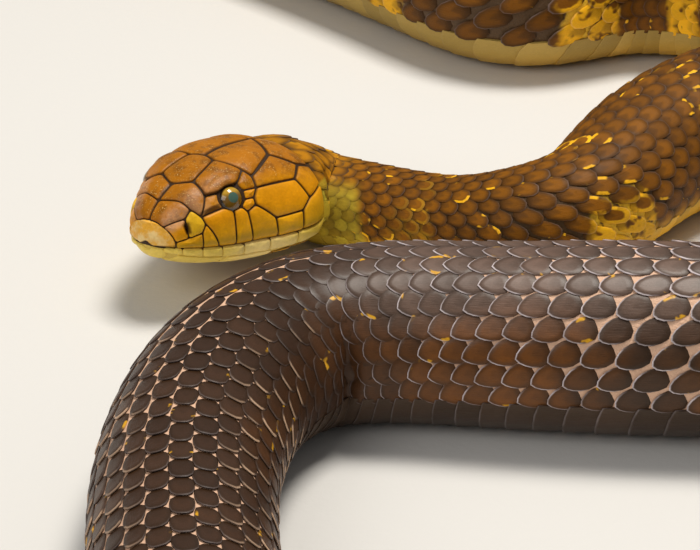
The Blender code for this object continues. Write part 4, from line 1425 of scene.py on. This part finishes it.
@dataclass(frozen=True)
class EyeFinish:
    """Wet clear eye: round pupil painted grey-green as a reflection of the sky, golden iris brighter
    above, dark rim that is partly painted shade where the ball meets the lids.
    """

    # painted reflection of the sky over the black pupil
    pupil_sky_reflection: Triple = (0.055, 0.115, 0.085)
    iris: Triple = (0.17, 0.085, 0.006)
    gold: Triple = (0.62, 0.36, 0.03)
    # dark rim: partly the iris's own edge, partly painted shade where the ball meets the lids
    rim: Triple = (0.012, 0.008, 0.005)
    pupil_edge: float = 0.36
    iris_edge: float = 0.72

    def make(self) -> Material:
        """Build the material.

        Returns:
            The material.
        """
        tree = Tree("eye", self.pupil_sky_reflection)
        (off, height), fine = tree.values("off height"), tree.grain(2500.0)
        iris = tree.blend(self.iris, self.gold, height.rise(0.05, 0.50) * (fine * 0.5 + 0.5))
        tree.lay(iris, off.rise(self.pupil_edge - 0.03, self.pupil_edge + 0.03))
        # Dark rim, partly painted shade where the ball meets the lids
        tree.lay(self.rim, off.rise(self.iris_edge, self.iris_edge + 0.14))
        return tree.finish(0.10 + fine * 0.02, fine, 0.00002, Coat_Weight=0.6, Coat_Roughness=0.03,
                           Specular_IOR_Level=0.4)


@dataclass(frozen=True)
class FloorFinish:
    """Plain pale floor."""

    colour: Triple = (0.72, 0.71, 0.69)

    def make(self) -> Material:
        """Build the material.

        Returns:
            The material.
        """
        tree = Tree("floor", self.colour)
        grain = tree.grain(400.0)
        return tree.finish(0.75 + grain * 0.1, grain, 0.0001, Specular_IOR_Level=0.1)


# The snake and its stage

ZONES = (
    ScaleRows("scales_neck", 67.5, 372.0, points=14),
    ScaleRows("scales_front", 372.0, 1180.0),
    ScaleRows("scales_middle", 1180.0, 2040.0),
    ScaleRows("scales_bend", 2040.0, 2400.0, points=14),
    ScaleRows("scales_rear", 2400.0, 3186.0),
    ScaleRows("scales_tail_1", 3186.0, 3560.0, rows=11, span=116.0),
    ScaleRows("scales_tail_2", 3560.0, 3800.0, rows=9, span=122.0),
    ScaleRows("scales_tail_3", 3800.0, SNAKE.end - 6.0, rows=7, span=130.0),
)
THROAT = ScaleRows("throat", 27.0, 63.0, rows=9, span=56.0, from_angle=180.0)


@dataclass
class KingCobra:
    """The snake: skin, eyes, shields, rows of scales and belly scutes."""

    zones: tuple[ScaleRows, ...] = ZONES
    half_turn: float = 182.0   # degrees for the rows of a side and half the scutes, 2 to overlap

    def dress(self, piece: bpy.types.Object, material: Material,
              stands_for: tuple[str, ...] = ()) -> None:
        """Give a piece its material and say what it rides on and stands for.

        Args:
            piece: the object.
            material: its finish.
            stands_for: CAD nodes that it takes the place of.
        """
        piece.data.materials.append(material)
        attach(piece, "root")
        if stands_for:
            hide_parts(*stands_for)

    def build(self) -> None:
        """Build every piece."""
        flesh = tuple(sorted(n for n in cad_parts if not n.startswith("eye_")))
        self.dress(Skin().shape().write("skin", 80), SkinFinish().make(), flesh)
        eye = EyeFinish().make()
        for word, side in (("left", 1.0), ("right", -1.0)):
            self.dress(Eye(side).shape().write("eyeball_" + word, 80), eye, ("eye_" + word,))
        shields = HeadShields().build().shape().write("head_shields")
        self.dress(shields, ShieldFinish().make())
        self.coat()

    def coat(self) -> None:
        """Lay the rows of scales and the scutes, each zone from where the last one ended."""
        horn = ScaleFinish().make()
        run = self.zones[0].begin
        for zone in self.zones:
            zone.begin = run
            columns, steps = zone.columns()
            run = columns[-1] + steps[-1]
            self.dress(zone.build().shape().write(zone.name), horn)
            scutes = BellyScutes(self.half_turn - zone.span).build(zone)
            self.dress(scutes.write(zone.name.replace("scales", "scutes")), horn)
        self.dress(THROAT.build().shape().write("throat"), horn)


@dataclass(frozen=True)
class Lamp:
    """A soft square light that looks at the target."""

    name: str
    place: Triple    # from the target
    size: float
    power: float     # in watts
    colour: Triple


@dataclass
class Stage:
    """Floor, lights, even light from all round, and the camera at the photo's angle."""

    target: Triple = (-0.2087, -0.1273, 0.029)
    distance: float = 1.44
    elevation: float = 27.0
    lens: float = 243.26
    floor_side: float = 12.0
    floor_drop: float = 0.0002
    sky: Triple = (0.95, 0.95, 0.94)
    sky_strength: float = 0.24
    lamps: tuple[Lamp, ...] = (Lamp("key", (0.35, 0.30, 1.6), 0.6, 28.0, (1.0, 0.95, 0.87)),
                               Lamp("fill", (-0.9, -1.3, 1.2), 1.2, 12.0, (1.0, 0.97, 0.93)))

    def build(self) -> None:
        """Build the floor, the lights, the world and the camera."""
        mesh = bpy.data.meshes.new("floor")
        corners = [(x * self.floor_side / 2, y * self.floor_side / 2, -self.floor_drop)
                   for x, y in ((-1, -1), (1, -1), (1, 1), (-1, 1))]
        mesh.from_pydata(corners, [], [(0, 1, 2, 3)])
        mesh.materials.append(FloorFinish().make())
        self.put("floor", mesh)
        for lamp in self.lamps:
            data = bpy.data.lights.new(lamp.name, "AREA")
            data.size, data.energy, data.color = lamp.size, lamp.power, lamp.colour
            made = self.put(lamp.name, data)
            made.location = Vector(self.target) + Vector(lamp.place)
            made.rotation_euler = Vector(lamp.place).to_track_quat("Z", "Y").to_euler()
        self.world()
        self.camera()

    def put(self, name: str, data: Any) -> bpy.types.Object:
        """Put a mesh, a light or a camera into the scene.

        Args:
            name: the object's name.
            data: what it shows.

        Returns:
            The object.
        """
        made = bpy.data.objects.new(name, data)
        bpy.context.scene.collection.objects.link(made)
        return made

    def world(self) -> None:
        """Set the even light from all round, and plain colours."""
        world = bpy.data.worlds.new("studio")
        world.use_nodes = True
        back = world.node_tree.nodes["Background"]
        back.inputs["Color"].default_value = (*self.sky, 1.0)
        back.inputs["Strength"].default_value = self.sky_strength
        bpy.context.scene.world = world
        bpy.context.scene.view_settings.view_transform = "Standard"

    def camera(self) -> None:
        """Put the camera at its distance from the target, looking down at it."""
        data = bpy.data.cameras.new("camera")
        data.lens, data.sensor_width, data.clip_start = self.lens, 36.0, 0.05
        tilt = math.radians(self.elevation)
        camera = self.put("camera", data)
        back = Vector((0.0, -math.cos(tilt), math.sin(tilt)))
        camera.location = Vector(self.target) + self.distance * back
        camera.rotation_euler = (math.pi / 2 - tilt, 0.0, 0.0)
        bpy.context.scene.camera = camera


def main() -> None:
    """Build the stage and the snake."""
    logging.basicConfig(level=logging.INFO, format="%(message)s")
    Stage().build()
    KingCobra().build()
    bpy.context.view_layer.update()


if __name__ == "__main__":
    main()
